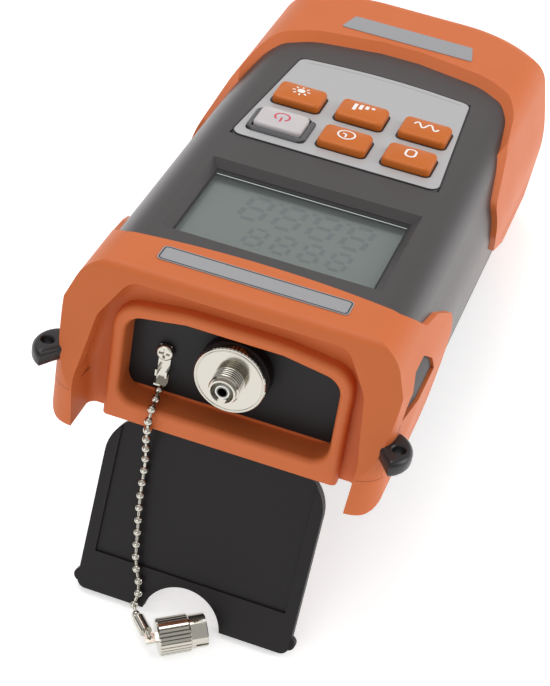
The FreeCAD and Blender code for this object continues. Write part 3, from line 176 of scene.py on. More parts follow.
@dataclass(frozen=True)
class Finish:
    """What a material slot looks like."""

    BUMP: ClassVar[float] = 0.35

    slot: str
    base: Colour
    tint: Colour
    roughness: float = 0.5
    metallic: float = 0.0
    mottle: float = 0.3
    gloss_spread: float = 0.08
    grain_scale: float = 2500.0
    relief: Relief = Relief.MOULDED
    relief_depth_mm: float = 0.02
    specular: float = 0.5
    alpha: float = 1.0

    def build(self, group: bpy.types.ShaderNodeTree) -> bpy.types.Material:
        """Makes the material.

        Args:
            group: the shared moulded surface group.

        Returns:
            The finished material.
        """
        material = bpy.data.materials.new("finish_" + self.slot)
        material.use_nodes = True
        nodes, links = material.node_tree.nodes, material.node_tree.links
        shader = nodes["Principled BSDF"]
        surface = nodes.new("ShaderNodeGroup")
        surface.node_tree = group
        surface.inputs["Base"].default_value = (*self.base, 1.0)
        surface.inputs["Tint"].default_value = (*self.tint, 1.0)
        surface.inputs["Mottle"].default_value = self.mottle
        surface.inputs["Roughness"].default_value = self.roughness
        surface.inputs["Gloss Spread"].default_value = self.gloss_spread
        surface.inputs["Grain Scale"].default_value = self.grain_scale
        links.new(surface.outputs["Color"], shader.inputs["Base Color"])
        links.new(surface.outputs["Roughness"], shader.inputs["Roughness"])
        if self.relief is not Relief.SMOOTH:
            bump = nodes.new("ShaderNodeBump")
            bump.inputs["Strength"].default_value = self.BUMP * self.relief.value
            bump.inputs["Distance"].default_value = self.relief_depth_mm * MM
            links.new(surface.outputs["Height"], bump.inputs["Height"])
            links.new(bump.outputs["Normal"], shader.inputs["Normal"])
        shader.inputs["Metallic"].default_value = self.metallic
        shader.inputs["Specular IOR Level"].default_value = self.specular
        shader.inputs["Alpha"].default_value = self.alpha
        return material


FINISHES = (
    Finish("bumper_rubber", (0.62, 0.150, 0.040), (0.52, 0.112, 0.024), roughness=0.5, mottle=0.35,
           specular=0.3),
    Finish("case_plastic", (0.052, 0.045, 0.046), (0.040, 0.035, 0.036), roughness=0.34, grain_scale=3500.0),
    Finish("grip_plastic", (0.05, 0.046, 0.045), (0.03, 0.03, 0.03), roughness=0.6, relief=Relief.TEXTURED,
           relief_depth_mm=0.06, grain_scale=1200.0),
    Finish("lug_plastic", (0.018, 0.016, 0.017), (0.012, 0.011, 0.012), roughness=0.34, specular=0.4),
    Finish("label_silver", (0.36, 0.36, 0.375), (0.31, 0.31, 0.325), roughness=0.42, metallic=0.35,
           relief_depth_mm=0.008),
    Finish("panel_black", (0.010, 0.009, 0.010), (0.007, 0.006, 0.007), roughness=0.5, specular=0.3),
    Finish("nickel", (0.57, 0.545, 0.485), (0.49, 0.465, 0.41), roughness=0.14, metallic=1.0,
           relief=Relief.SMOOTH),
    Finish("zirconia", (0.86, 0.85, 0.82), (0.8, 0.79, 0.76), roughness=0.15, relief=Relief.SMOOTH),
    Finish("detector_metal", (0.6, 0.6, 0.6), (0.5, 0.5, 0.5), roughness=0.3, metallic=1.0),
    Finish("board_green", (0.03, 0.16, 0.06), (0.02, 0.12, 0.05), roughness=0.35),
    Finish("chip_black", (0.02, 0.02, 0.02), (0.03, 0.03, 0.03), roughness=0.5),
    Finish("screw_steel", (0.55, 0.55, 0.56), (0.45, 0.45, 0.46), roughness=0.3, metallic=1.0),
    Finish("display_clear", (0.22, 0.25, 0.24), (0.2, 0.23, 0.22), roughness=0.08, alpha=0.22,
           relief=Relief.SMOOTH),
    Finish("display_face", (0.265, 0.30, 0.275), (0.235, 0.265, 0.26), roughness=0.5, grain_scale=4000.0),
    Finish("keypad_silver", (0.50, 0.495, 0.50), (0.45, 0.445, 0.45), roughness=0.4, metallic=0.3,
           relief_depth_mm=0.006),
    Finish("bezel_grey", (0.10, 0.10, 0.105), (0.08, 0.08, 0.085), roughness=0.4),
    Finish("key_orange", (0.56, 0.132, 0.008), (0.50, 0.108, 0.005), roughness=0.42, specular=0.35),
    Finish("key_white", (0.56, 0.52, 0.525), (0.50, 0.46, 0.47), roughness=0.4),
    Finish("mat_rubber", (0.6, 0.6, 0.6), (0.5, 0.5, 0.5), roughness=0.6),
    Finish("stand_plastic", (0.011, 0.009, 0.0095), (0.016, 0.013, 0.013), roughness=0.5, grain_scale=1800.0,
           relief_depth_mm=0.03, specular=0.28),
    Finish("cell_wrap", (0.05, 0.16, 0.4), (0.04, 0.13, 0.33), roughness=0.3),
    Finish("contact_metal", (0.7, 0.7, 0.66), (0.6, 0.6, 0.57), roughness=0.25, metallic=1.0),
)

EXTRA_FINISHES = (
    Finish("ink", (0.02, 0.02, 0.022), (0.03, 0.03, 0.03), roughness=0.5, relief=Relief.SMOOTH),
    Finish("power_red", (0.62, 0.05, 0.09), (0.55, 0.04, 0.08), roughness=0.45, relief=Relief.SMOOTH),
    Finish("ghost", (0.19, 0.205, 0.225), (0.175, 0.19, 0.21), roughness=0.5, relief=Relief.SMOOTH),
    # black of the display's gasket, and painted shade in the gaps round the keys and the keypad panel
    Finish("gasket_and_gap_shade", (0.01, 0.01, 0.01), (0.015, 0.015, 0.015), roughness=0.6),
    Finish("sign_white", (0.86, 0.84, 0.82), (0.8, 0.78, 0.76), roughness=0.5, relief=Relief.SMOOTH),
    # painted highlight: a bright line standing in for light caught by the window's glass edge
    Finish("painted_edge_highlight", (0.5, 0.56, 0.52), (0.45, 0.5, 0.46), roughness=0.3, relief=Relief.SMOOTH),
    Finish("line_grey", (0.36, 0.36, 0.38), (0.32, 0.32, 0.34), roughness=0.5, relief=Relief.SMOOTH),
    Finish("seam_brown", (0.30, 0.055, 0.012), (0.26, 0.045, 0.01), roughness=0.6, relief=Relief.SMOOTH),
    # painted shade: darker nickel laid in the thread grooves, the sleeve's bore and the cap's flutes
    Finish("nickel_painted_shade", (0.16, 0.15, 0.13), (0.12, 0.11, 0.1), roughness=0.35, metallic=1.0,
           relief=Relief.SMOOTH),
)


class Wardrobe:
    """Every finish of the meter, by the slot or trim it dresses."""

    def __init__(self) -> None:
        """Builds the shared group and one material for each finish."""
        group = build_moulding_group()
        self.materials = {finish.slot: finish.build(group) for finish in FINISHES}
        self.materials.update({extra.slot: extra.build(group) for extra in EXTRA_FINISHES})

    def dress_nodes(self) -> None:
        """Puts each CAD node's finish in all its material slots."""
        for entry in frame["record"]["subparts"]:
            node = frame["nodes"][entry["node"]]
            material = self.materials[entry["material_slot"]]
            if not node.material_slots:
                node.data.materials.append(material)
            for socket in node.material_slots:
                socket.material = material


# ------------------------------------------------------------------ mesh helpers
def bridge(shape: bmesh.types.BMesh, here: Sequence[bmesh.types.BMVert], there: Sequence[bmesh.types.BMVert]) -> None:
    """Joins two closed loops of the same number of corners with four-sided faces.

    Args:
        shape: mesh to add to.
        here: corners of the first loop.
        there: corners of the second loop.
    """
    for i in range(len(here)):
        j = (i + 1) % len(here)
        shape.faces.new((here[i], here[j], there[j], there[i]))


def mesh_piece(name: str, build: Callable[[bmesh.types.BMesh], None], place: Matrix, material: bpy.types.Material,
               body: str = METER, smooth: bool = False) -> bpy.types.Object:
    """Makes a piece from mesh code written in millimetres.

    Args:
        name: name of the piece.
        build: fills the mesh.
        place: transform from those millimetres to the row.
        material: finish of the piece.
        body: body the piece rides on.
        smooth: whether its faces are shaded smooth.

    Returns:
        The new object, in place and riding.
    """
    shape = bmesh.new()
    build(shape)
    bmesh.ops.recalc_face_normals(shape, faces=shape.faces)
    shape.transform(place)
    data = bpy.data.meshes.new(name)
    shape.to_mesh(data)
    shape.free()
    if smooth:
        data.shade_smooth()
    data.materials.append(material)
    piece = bpy.data.objects.new(name, data)
    bpy.context.scene.collection.objects.link(piece)
    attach(piece, body)
    LOG.info("made %s", name)
    return piece


def add_prism(shape: bmesh.types.BMesh, outline: Sequence[Point2], low: float, high: float) -> None:
    """Adds an upright prism over an outline.

    Args:
        shape: mesh to add to.
        outline: corners in order, as (u, v).
        low: w of its underside.
        high: w of its top.
    """
    lower = [shape.verts.new((u, v, low)) for u, v in outline]
    upper = [shape.verts.new((u, v, high)) for u, v in outline]
    shape.faces.new(lower[::-1])
    shape.faces.new(upper)
    bridge(shape, lower, upper)


def stroke(path: Sequence[Point2], width: float, closed: bool = False) -> list[list[Point2]]:
    """Outlines of a drawn line, one quadrilateral for each of its runs.

    Args:
        path: points of the line.
        width: width of the line.
        closed: whether the last point joins the first.

    Returns:
        The outlines.
    """
    ends = list(path) + ([path[0]] if closed else [])
    sides: list[tuple[Vector, Vector]] = []
    for i, spot in enumerate(ends):
        before = Vector(ends[i - 1]) if i else (Vector(ends[-2]) if closed else None)
        after = Vector(ends[i + 1]) if i + 1 < len(ends) else (Vector(ends[1]) if closed else None)
        here = Vector(spot)
        first = (here - before).normalized() if before is not None else None
        second = (after - here).normalized() if after is not None else None
        heading = ((first or second) + (second or first)).normalized()
        normal = Vector((-heading.y, heading.x))
        stretch = 1.0 / max(0.5, abs(normal.dot(Vector((-(first or second).y, (first or second).x)))))
        sides.append((here + normal * width / 2 * stretch, here - normal * width / 2 * stretch))
    return [[tuple(sides[i][1]), tuple(sides[i + 1][1]), tuple(sides[i + 1][0]), tuple(sides[i][0])]
            for i in range(len(sides) - 1)]


def arc(cu: float, cv: float, radius: float, start: float, end: float, count: int = 16) -> list[Point2]:
    """Points on an arc.

    Args:
        cu: u of its centre.
        cv: v of its centre.
        radius: its radius.
        start: angle it starts at, in degrees.
        end: angle it ends at, in degrees.
        count: number of steps along it.

    Returns:
        The points, with both ends.
    """
    return [(cu + radius * math.cos(math.radians(start + (end - start) * i / count)),
             cv + radius * math.sin(math.radians(start + (end - start) * i / count))) for i in range(count + 1)]


def straight(start: Point2, end: Point2, count: int = 6) -> list[Point2]:
    """Points along a straight line."""
    return [(start[0] + (end[0] - start[0]) * i / count, start[1] + (end[1] - start[1]) * i / count)
            for i in range(count + 1)]


def rounded(u0: float, v0: float, u1: float, v1: float, radius: float) -> list[Point2]:
    """Corners of a rounded rectangle.

    Args:
        u0: its least u.
        v0: its least v.
        u1: its greatest u.
        v1: its greatest v.
        radius: radius of its corners.

    Returns:
        The corners in order.
    """
    return (arc(u1 - radius, v0 + radius, radius, -90, 0, 6) + arc(u1 - radius, v1 - radius, radius, 0, 90, 6)
            + arc(u0 + radius, v1 - radius, radius, 90, 180, 6) + arc(u0 + radius, v0 + radius, radius, 180, 270, 6))


def add_ring(shape: bmesh.types.BMesh, outer: Sequence[Point2], inner: Sequence[Point2], low: float,
             high: float) -> None:
    """Adds a flat closed band between two outlines of the same number of corners.

    Args:
        shape: mesh to add to.
        outer: corners of the outer outline.
        inner: corners of the inner outline.
        low: w of its underside.
        high: w of its top.
    """
    loops = [[shape.verts.new((u, v, w)) for u, v in outline]
             for outline, w in ((outer, low), (outer, high), (inner, high), (inner, low))]
    for step in range(4):
        bridge(shape, loops[step], loops[(step + 1) % 4])


def add_revolved(shape: bmesh.types.BMesh, profile: Sequence[Point2], centre: Point2, steps: int = 72) -> None:
    """Adds a closed profile turned about an axis that runs along the meter.

    Args:
        shape: mesh to add to.
        profile: corners of the profile, as (v, radius).
        centre: u and w of the axis.
        steps: number of steps round the axis.
    """
    turns = [math.tau * k / steps for k in range(steps)]
    rings = [[shape.verts.new((centre[0] + r * math.cos(t), v, centre[1] + r * math.sin(t))) for v, r in profile]
             for t in turns]
    for k in range(steps):
        bridge(shape, rings[k], rings[(k + 1) % steps])


# ------------------------------------------------------------------ keys and their signs
class Sign(Enum):
    """Plain signs on the keys, drawn to be read from the far end."""

    POWER = "power_key"
    CLOCK = "auto_off_key"
    NOUGHT = "zero_key"
    SUN = "light_key"
    BARS = "decibel_key"
    WAVE = "wavelength_key"

    def strokes(self) -> list[list[Point2]]:
        """Draws the sign about its own centre.

        Returns:
            Its outlines, in millimetres.
        """
        line, bold, bar = 0.42, 0.46, 0.85
        if self is Sign.POWER:
            return stroke(arc(0, 0, 1.75, -235, 55, 30), bold) + stroke(straight((0, 0.3), (0, 2.3)), bold)
        if self is Sign.CLOCK:
            return (stroke(arc(0, 0, 2.0, 0, 360, 36), line) + stroke(straight((0, 0), (0, 1.35)), line)
                    + stroke([(0, 0), (0.95, -0.35)], line))
        if self is Sign.NOUGHT:
            return stroke(rounded(-1.15, -1.75, 1.15, 1.75, 1.1), 0.5, closed=True)
        if self is Sign.SUN:
            near, far = 1.45, 2.2
            rays = [stroke([(near * math.cos(a), near * math.sin(a)), (far * math.cos(a), far * math.sin(a))], line)
                    for a in (math.tau * k / 8 for k in range(8))]
            return [arc(0, 0, 0.95, 0, 345, 23)] + [outline for ray in rays for outline in ray]
        if self is Sign.BARS:
            bars = [straight((-2.1 + 1.4 * k, -1.6), (-2.1 + 1.4 * k, -0.7 + 0.8 * k)) for k in range(4)]
            return [outline for path in bars for outline in stroke(path, bar)]
        return stroke([(-3.0 + 6.0 * k / 36, 1.15 * math.sin(math.tau * k / 18)) for k in range(37)], bold)


@dataclass(frozen=True)
class KeyCap:
    """A key of the keypad: a softly crowned top and the sign on it."""

    sign: Sign
    u: float
    v: float
    slot: str
    half_wide: float = 6.15
    half_long: float = 4.45
    top: float = 47.4
    crown: float = 0.42
    sunk: float = 0.03
    fall: float = 2.6
    sign_shift: float = 0.7
    sign_scale: float = 1.2
    ink_over: float = 0.035
    ink_under: float = 0.12
    columns: int = 30
    rows: int = 22

    def height(self, u: float, v: float) -> float:
        """Works out how high the crowned top stands.

        Args:
            u: place across the meter.
            v: place along the meter.

        Returns:
            The height there.
        """
        across = max(0.0, 1.0 - abs((u - self.u) / self.half_wide) ** self.fall)
        along = max(0.0, 1.0 - abs((v - self.v) / self.half_long) ** self.fall)
        return self.top - self.sunk + self.crown * across * along

    def add_crown(self, shape: bmesh.types.BMesh) -> None:
        """Adds the crowned skin over the key's flat top.

        Args:
            shape: mesh to add to.
        """
        columns, rows = self.columns, self.rows
        grid = []
        for i in range(columns + 1):
            for j in range(rows + 1):
                u = self.u + self.half_wide * (2 * i / columns - 1)
                v = self.v + self.half_long * (2 * j / rows - 1)
                grid.append(shape.verts.new((u, v, self.height(u, v))))
        for i in range(columns):
            for j in range(rows):
                k = i * (rows + 1) + j
                shape.faces.new((grid[k], grid[k + rows + 1], grid[k + rows + 2], grid[k + 1]))

    def add_sign(self, shape: bmesh.types.BMesh) -> None:
        """Adds the sign as thin ink that follows the crown.

        Args:
            shape: mesh to add to.
        """
        for outline in self.sign.strokes():
            place = [(self.u - x * self.sign_scale, self.v + self.sign_shift - y * self.sign_scale)
                     for x, y in outline]
            upper = [shape.verts.new((u, v, self.height(u, v) + self.ink_over)) for u, v in place]
            lower = [shape.verts.new((u, v, self.height(u, v) - self.ink_under)) for u, v in place]
            shape.faces.new(upper)
            bridge(shape, lower, upper)

    def build(self, place: Matrix, wardrobe: Wardrobe) -> None:
        """Makes the crown and the sign, riding on the key.

        Args:
            place: transform from the meter's millimetres to the row.
            wardrobe: finishes of the meter.
        """
        body = self.sign.value + "_body"
        mesh_piece(self.sign.value + "_crown", self.add_crown, place, wardrobe.materials[self.slot],
                   body, smooth=True)
        ink = wardrobe.materials["power_red" if self.sign is Sign.POWER else "sign_white"]
        mesh_piece(self.sign.value + "_sign", self.add_sign, place, ink, body)


KEY_CAPS = (
    KeyCap(Sign.POWER, -18.7, 98.0, "key_white", sign_shift=0.3), KeyCap(Sign.CLOCK, 0.0, 98.0, "key_orange"),
    KeyCap(Sign.NOUGHT, 18.7, 98.0, "key_orange"), KeyCap(Sign.SUN, -18.7, 115.0, "key_orange"),
    KeyCap(Sign.BARS, 0.0, 115.0, "key_orange"), KeyCap(Sign.WAVE, 18.7, 115.0, "key_orange"),
)


# ------------------------------------------------------------------ display
@dataclass(frozen=True)
class DigitRow:
    """A row of digits: where the first stands, how far apart they are, and how large."""

    first_u: float
    step: float
    v: float
    wide: float
    tall: float
    line: float


@dataclass
class Display:
    """Unlit digits, the gasket round the window and the fine lines at its far edge, the bright one a painted
    highlight.
    """

    SEGMENTS: ClassVar[tuple[tuple[Point2, Point2], ...]] = (
        ((0, 1), (1, 1)), ((1, 1), (1, 0.5)), ((1, 0.5), (1, 0)), ((0, 0), (1, 0)),
        ((0, 0), (0, 0.5)), ((0, 0.5), (0, 1)), ((0, 0.5), (1, 0.5)))
    LARGE: ClassVar[DigitRow] = DigitRow(19.5, 9.4, 65.0, 5.8, 11.4, 1.5)
    SMALL: ClassVar[DigitRow] = DigitRow(17.5, 7.6, 50.2, 4.4, 8.4, 1.2)
    SEGMENT_GAP: ClassVar[float] = 0.62

    place: Matrix
    wardrobe: Wardrobe
    half: float = 27.4
    near: float = 33.8
    far: float = 70.4
    face: float = 40.9
    glass: float = 42.6
    lean: float = 0.1
    figures: int = 4
    first_point: float = 11.9

    def add_mark(self, shape: bmesh.types.BMesh, outline: Sequence[Point2]) -> None:
        """Adds one thin mark on the display's face."""
        add_prism(shape, outline, self.face - 0.02, self.face + 0.03)

    def add_digit(self, shape: bmesh.types.BMesh, row: DigitRow, place_in_row: int) -> None:
        """Adds the seven bars of one digit, which leans a little, with its top towards the near end.

        Args:
            shape: mesh to add to.
            row: the row it stands in.
            place_in_row: its place in the row, from 0.
        """
        u, wide, tall = row.first_u - place_in_row * row.step, row.wide, row.tall
        for (x0, y0), (x1, y1) in self.SEGMENTS:
            dx, dy = (x1 - x0) * wide, (y1 - y0) * tall
            trim = row.line * self.SEGMENT_GAP / math.hypot(dx, dy)
            ends = [(x0 + (x1 - x0) * t, y0 + (y1 - y0) * t) for t in (trim, 1 - trim)]
            run = [(u - (x * wide + y * tall * self.lean), row.v - y * tall) for x, y in ends]
            for outline in stroke(run, row.line):
                self.add_mark(shape, outline)

    def add_digits(self, shape: bmesh.types.BMesh) -> None:
        """Adds two rows of unlit digits, and the points between those of the larger row.

        Args:
            shape: mesh to add to.
        """
        for row in (self.LARGE, self.SMALL):
            for k in range(self.figures):
                self.add_digit(shape, row, k)
        for k in range(self.figures - 1):
            u = self.first_point - k * self.LARGE.step
            self.add_mark(shape, rounded(u - 0.6, 64.2, u + 0.6, 65.4, 0.3))

    def add_gasket(self, shape: bmesh.types.BMesh) -> None:
        """Adds the dark gasket against the sides of the opening, and a dark line along the far edge.

        Args:
            shape: mesh to add to.
        """
        half, near, far = self.half, self.near, self.far
        add_ring(shape, rounded(-half, near, half, far, 0.4),
                 rounded(-half + 0.55, near + 0.5, half - 0.55, far - 1.7, 0.4), self.glass - 0.02, self.glass + 0.16)
        add_prism(shape, rounded(-half + 0.5, far - 3.1, half - 0.5, far - 2.3, 0.2), self.glass - 0.02,
                  self.glass + 0.02)

    def add_painted_highlight_line(self, shape: bmesh.types.BMesh) -> None:
        """Adds a painted highlight: the thin bright edge of the window inside the gasket."""
        add_prism(shape, rounded(-self.half + 0.6, self.far - 2.25, self.half - 0.6, self.far - 1.9, 0.1),
                  self.glass - 0.02, self.glass + 0.05)

    def build(self) -> None:
        """Makes every piece of the display."""
        stock = self.wardrobe.materials
        mesh_piece("display_digits", self.add_digits, self.place, stock["ghost"])
        mesh_piece("display_gasket", self.add_gasket, self.place, stock["gasket_and_gap_shade"])
        # painted highlight along the window's far glass edge
        mesh_piece("display_edge_highlight", self.add_painted_highlight_line, self.place, stock["painted_edge_highlight"])


# ------------------------------------------------------------------ trims
@dataclass
class Trims:
    """Thin lines and gaps on the flat plates, with painted shade in the gaps round the keys and the keypad panel, and
    the threads of the port, with painted shade in their grooves and in the sleeve's bore.
    """

    PORT: ClassVar[Point2] = (0.0, 20.6)
    CREST: ClassVar[tuple[Point2, ...]] = ((-0.18, 3.96), (-0.06, 4.18), (0.06, 4.18), (0.18, 3.96))
    GROOVE: ClassVar[tuple[Point2, ...]] = ((-0.25, 3.98), (-0.25, 4.03), (0.25, 4.03), (0.25, 3.98))
    BORE_SHADE: ClassVar[tuple[Point2, ...]] = (
        (5.385, 1.52), (5.36, 1.5), (5.36, 1.21), (15.0, 1.21), (15.0, 1.26), (5.385, 1.26))
    FLANGE_LIP: ClassVar[tuple[Point2, ...]] = ((10.74, 9.0), (10.58, 8.9), (10.58, 8.7), (10.74, 8.6))
    FLANGE_STEPS: ClassVar[int] = 96
    GAP_SHADE_BAND: ClassVar[Point2] = (45.1, 45.24)
    EDGE_SHADE_BAND: ClassVar[Point2] = (45.0, 45.23)
    LINE_BAND: ClassVar[Point2] = (45.15, 45.23)
    LABEL_BAND: ClassVar[Point2] = (45.2, 45.28)

    place: Matrix
    wardrobe: Wardrobe
    thread_from: float = 7.3
    pitch: float = 0.8
    turns: int = 5

    def add_painted_key_gap_shade(self, shape: bmesh.types.BMesh) -> None:
        """Adds painted shade: a dark ring in the gap round each orange key.

        Args:
            shape: mesh to add to.
        """
        for cap in KEY_CAPS:
            if cap.sign is Sign.POWER:
                continue
            outer = rounded(cap.u - 7.5, cap.v - 6.0, cap.u + 7.5, cap.v + 5.7, 2.0)
            inner = rounded(cap.u - 7.06, cap.v - 5.36, cap.u + 7.06, cap.v + 5.36, 1.7)
            add_ring(shape, outer, inner, *self.GAP_SHADE_BAND)

    def add_painted_panel_edge_shade(self, shape: bmesh.types.BMesh) -> None:
        """Adds painted shade: a dark ring round the edge of the keypad panel, where it sits in its recess.

        Args:
            shape: mesh to add to.
        """
        def outline(inset: float) -> list[Point2]:
            """Draws the panel's edge, in by an amount."""
            half = (arc(26.97, 90.0, 3.0 - inset, -90, 4.3, 6) + arc(23.40, 137.5, 3.0 - inset, 4.3, 83.5, 6)
                    + [(13.1, 141.7 - inset), (4.45, 142.2 - inset)])
            return half + [(-u, v) for u, v in reversed(half)]

        add_ring(shape, outline(-0.12), outline(0.32), *self.EDGE_SHADE_BAND)

    def add_panel_line(self, shape: bmesh.types.BMesh) -> None:
        """Adds the fine line that follows the far edge of the keypad panel.

        Args:
            shape: mesh to add to.
        """
        bow = [(-23.6 + 47.2 * k / 24, 138.2 + 1.9 * (1 - (2 * k / 24 - 1) ** 2)) for k in range(25)]
        for outline in stroke(bow, 0.35):
            add_prism(shape, outline, *self.LINE_BAND)

    def add_label_line(self, shape: bmesh.types.BMesh) -> None:
        """Adds the dark printed border of the near label."""
        outer, inner = rounded(-24.9, 17.9, 24.9, 23.9, 1.1), rounded(-24.55, 18.25, 24.55, 23.55, 0.8)
        add_ring(shape, outer, inner, *self.LABEL_BAND)

    def add_threads(self, shape: bmesh.types.BMesh) -> None:
        """Adds the crests of the port's thread.

        Args:
            shape: mesh to add to.
        """
        for k in range(self.turns):
            v = self.thread_from + self.pitch * k
            add_revolved(shape, [(v + step, radius) for step, radius in self.CREST], self.PORT)

    def add_thread_groove_shade(self, shape: bmesh.types.BMesh) -> None:
        """Adds painted shade: dark rings in the grooves between the crests.

        Args:
            shape: mesh to add to.
        """
        for k in range(self.turns - 1):
            v = self.thread_from + self.pitch * (k + 0.5)
            add_revolved(shape, [(v + step, radius) for step, radius in self.GROOVE], self.PORT)

    def add_sleeve_bore_shade(self, shape: bmesh.types.BMesh) -> None:
        """Adds painted shade: a dark skin in the mouth and bore of the ferrule sleeve."""
        add_revolved(shape, self.BORE_SHADE, self.PORT)

    def add_flange_lip(self, shape: bmesh.types.BMesh) -> None:
        """Adds the fine raised rim on the front of the port's flange."""
        add_revolved(shape, self.FLANGE_LIP, self.PORT, self.FLANGE_STEPS)

    def build(self) -> None:
        """Makes every trim."""
        stock = self.wardrobe.materials
        # painted shade: dark rings in the gaps round the orange keys
        mesh_piece("key_gap_shade", self.add_painted_key_gap_shade, self.place, stock["gasket_and_gap_shade"])
        # painted shade: dark ring where the keypad panel sits in its recess
        mesh_piece("panel_edge_shade", self.add_painted_panel_edge_shade, self.place, stock["gasket_and_gap_shade"])
        mesh_piece("panel_line", self.add_panel_line, self.place, stock["line_grey"])
        mesh_piece("label_border", self.add_label_line, self.place, stock["ink"])
        mesh_piece("port_threads", self.add_threads, self.place, stock["nickel"])
        # painted shade in the thread grooves
        mesh_piece("thread_groove_shade", self.add_thread_groove_shade, self.place, stock["nickel_painted_shade"])
        # painted shade inside the sleeve's bore
        mesh_piece("sleeve_bore_shade", self.add_sleeve_bore_shade, self.place, stock["nickel_painted_shade"])
        mesh_piece("flange_rim", self.add_flange_lip, self.place, stock["nickel"], smooth=True)


# ------------------------------------------------------------------ bumper lines
@dataclass
class PartingLines:
    """The fine lines where the halves of the bumpers meet."""

    place: Matrix
    wardrobe: Wardrobe
    near_w: float = 10.9
    far_w: float = 11.9
    far_centre_v: float = 145.0
    near_reach: float = 40.0
    far_reach: float = 120.0
    half: float = 0.1
    lift: float = 0.02
    proud: float = 0.03
    buried: float = 0.3

    def touch(self, node: bpy.types.Object, start: Vector, heading: Vector) -> Vector | None:
        """Finds where a ray first meets a node.

        Args:
            node: the node.
            start: start of the ray, in the meter's millimetres.
            heading: direction of the ray, in the meter's axes.

        Returns:
            The place met, in the meter's millimetres, or None.
        """
        into = node.matrix_world.inverted() @ self.place
        met, spot, _, _ = node.ray_cast(into @ start, (into.to_3x3() @ heading).normalized())
        return into.inverted() @ spot if met else None

    def near_rays(self, side: float) -> list[Ray]:
        """Aims rays that sweep from a horn's front round its corner to the grip window.

        Args:
            side: 1 for the right, -1 for the left.

        Returns:
            The start and heading of each ray.
        """
        rays = [(Vector((side * u, -30.0, self.near_w)), Vector((0.0, 1.0, 0.0))) for u in (37.9, 38.4, 39.0)]
        for k in range(9):
            turn = math.radians(90 - 80 * k / 8)
            heading = Vector((-side * math.cos(turn), math.sin(turn), 0.0))
            rays.append((Vector((side * 37.0, 6.0, self.near_w)) - heading * self.near_reach, heading))
        rays += [(Vector((side * 70.0, 3.0 + 6.6 * k / 8, 11.0 + 13.2 * k / 8 - 0.1)), Vector((-side, 0.0, 0.0)))
                 for k in range(1, 9)]
        return rays

    def far_rays(self) -> list[Ray]:
        """Aims rays that sweep round the far end from one arm to the other.

        Returns:
            The start and heading of each ray.
        """
        rays = []
        for k in range(73):
            turn = math.radians(-20 + 220 * k / 72)
            heading = -Vector((math.cos(turn), math.sin(turn), 0.0))
            rays.append((Vector((0.0, self.far_centre_v, self.far_w)) - heading * self.far_reach, heading))
        return rays

    def add_line(self, shape: bmesh.types.BMesh, node: str, rays: list[Ray]) -> None:
        """Adds a fine four-sided thread over the places that the rays meet.

        Args:
            shape: mesh to add to.
            node: the node the line lies on.
            rays: the start and heading of each ray.
        """
        carrier = frame["nodes"][node]
        met = [self.touch(carrier, start, heading) for start, heading in rays]
        rings = []
        for (_, heading), spot in zip(rays, met):
            if spot is None:
                continue
            offsets = (Vector((0, 0, self.half)), -heading * self.proud, Vector((0, 0, -self.half)),
                       heading * self.buried)
            rings.append([shape.verts.new(spot - heading * self.lift + offset) for offset in offsets])
        for here, there in zip(rings, rings[1:]):
            bridge(shape, here, there)

    def build(self) -> None:
        """Makes every line."""
        ink = self.wardrobe.materials["seam_brown"]
        for name, side in (("right", 1.0), ("left", -1.0)):
            line = partial(self.add_line, node="near_bumper_lower", rays=self.near_rays(side))
            mesh_piece("near_parting_" + name, line, self.place, ink)
        line = partial(self.add_line, node="far_bumper_lower", rays=self.far_rays())
        mesh_piece("far_parting", line, self.place, ink)


# ------------------------------------------------------------------ eyelets and cap
def smooth_by_angle(piece: bpy.types.Object) -> None:
    """Shades a piece smooth but for its sharp edges."""
    piece.data.shade_smooth()
    piece.data.set_sharp_from_angle(angle=math.radians(SHARP_DEG))


@dataclass(frozen=True)
class CornerFill:
    """Rubber that closes round an eyelet's root, so the bumper's corner runs on unbroken."""

    LEVELS: ClassVar[tuple[float, ...]] = (14.7, 17.0, 19.5, 22.3)
    SIDE: ClassVar[tuple[Point2, ...]] = (
        (0.8, 39.7), (1.2, 40.7), (1.7, 41.42), (2.4, 42.15), (3.1, 42.78), (3.5, 43.08), (4.0, 43.37),
        (4.9, 43.8), (5.6, 44.03), (6.6, 44.25), (8.6, 44.57), (11.6, 44.93))

    side: float
    back: float = 11.6
    count: int = 14
    foot: float = 14.8
    front_at_foot: float = 1.2
    front_lean: float = 0.311
    inner_at_foot: float = 37.65
    inner_lean: float = 0.162
    crowding: float = 1.4

    def reach(self, v: float) -> float:
        """Works out how far out the bumper's side stands.

        Args:
            v: distance from the bumper's near end.

        Returns:
            The half width there.
        """
        for (v0, u0), (v1, u1) in zip(self.SIDE, self.SIDE[1:]):
            if v <= v1:
                return u0 + (u1 - u0) * (v - v0) / (v1 - v0)
        return self.SIDE[-1][1]

    def ring(self, w: float) -> list[Point3]:
        """Draws the corner at one height.

        Args:
            w: the height.

        Returns:
            Points round the corner.
        """
        front = self.front_at_foot + self.front_lean * (w - self.foot)
        inner = self.inner_at_foot - self.inner_lean * (w - self.foot)
        spots = [(inner, self.back), (inner, front)]
        for k in range(self.count):
            v = front + (self.back - front) * (k / (self.count - 1)) ** self.crowding
            spots.append((self.reach(v), v))
        return [(self.side * u, v, w) for u, v in spots]

    def add(self, shape: bmesh.types.BMesh) -> None:
        """Adds the filled corner to a mesh.

        Args:
            shape: mesh to add to.
        """
        rings = [[shape.verts.new(spot) for spot in self.ring(w)] for w in self.LEVELS]
        for here, there in zip(rings, rings[1:]):
            bridge(shape, here, there)
        shape.faces.new(rings[0])
        shape.faces.new(rings[-1])


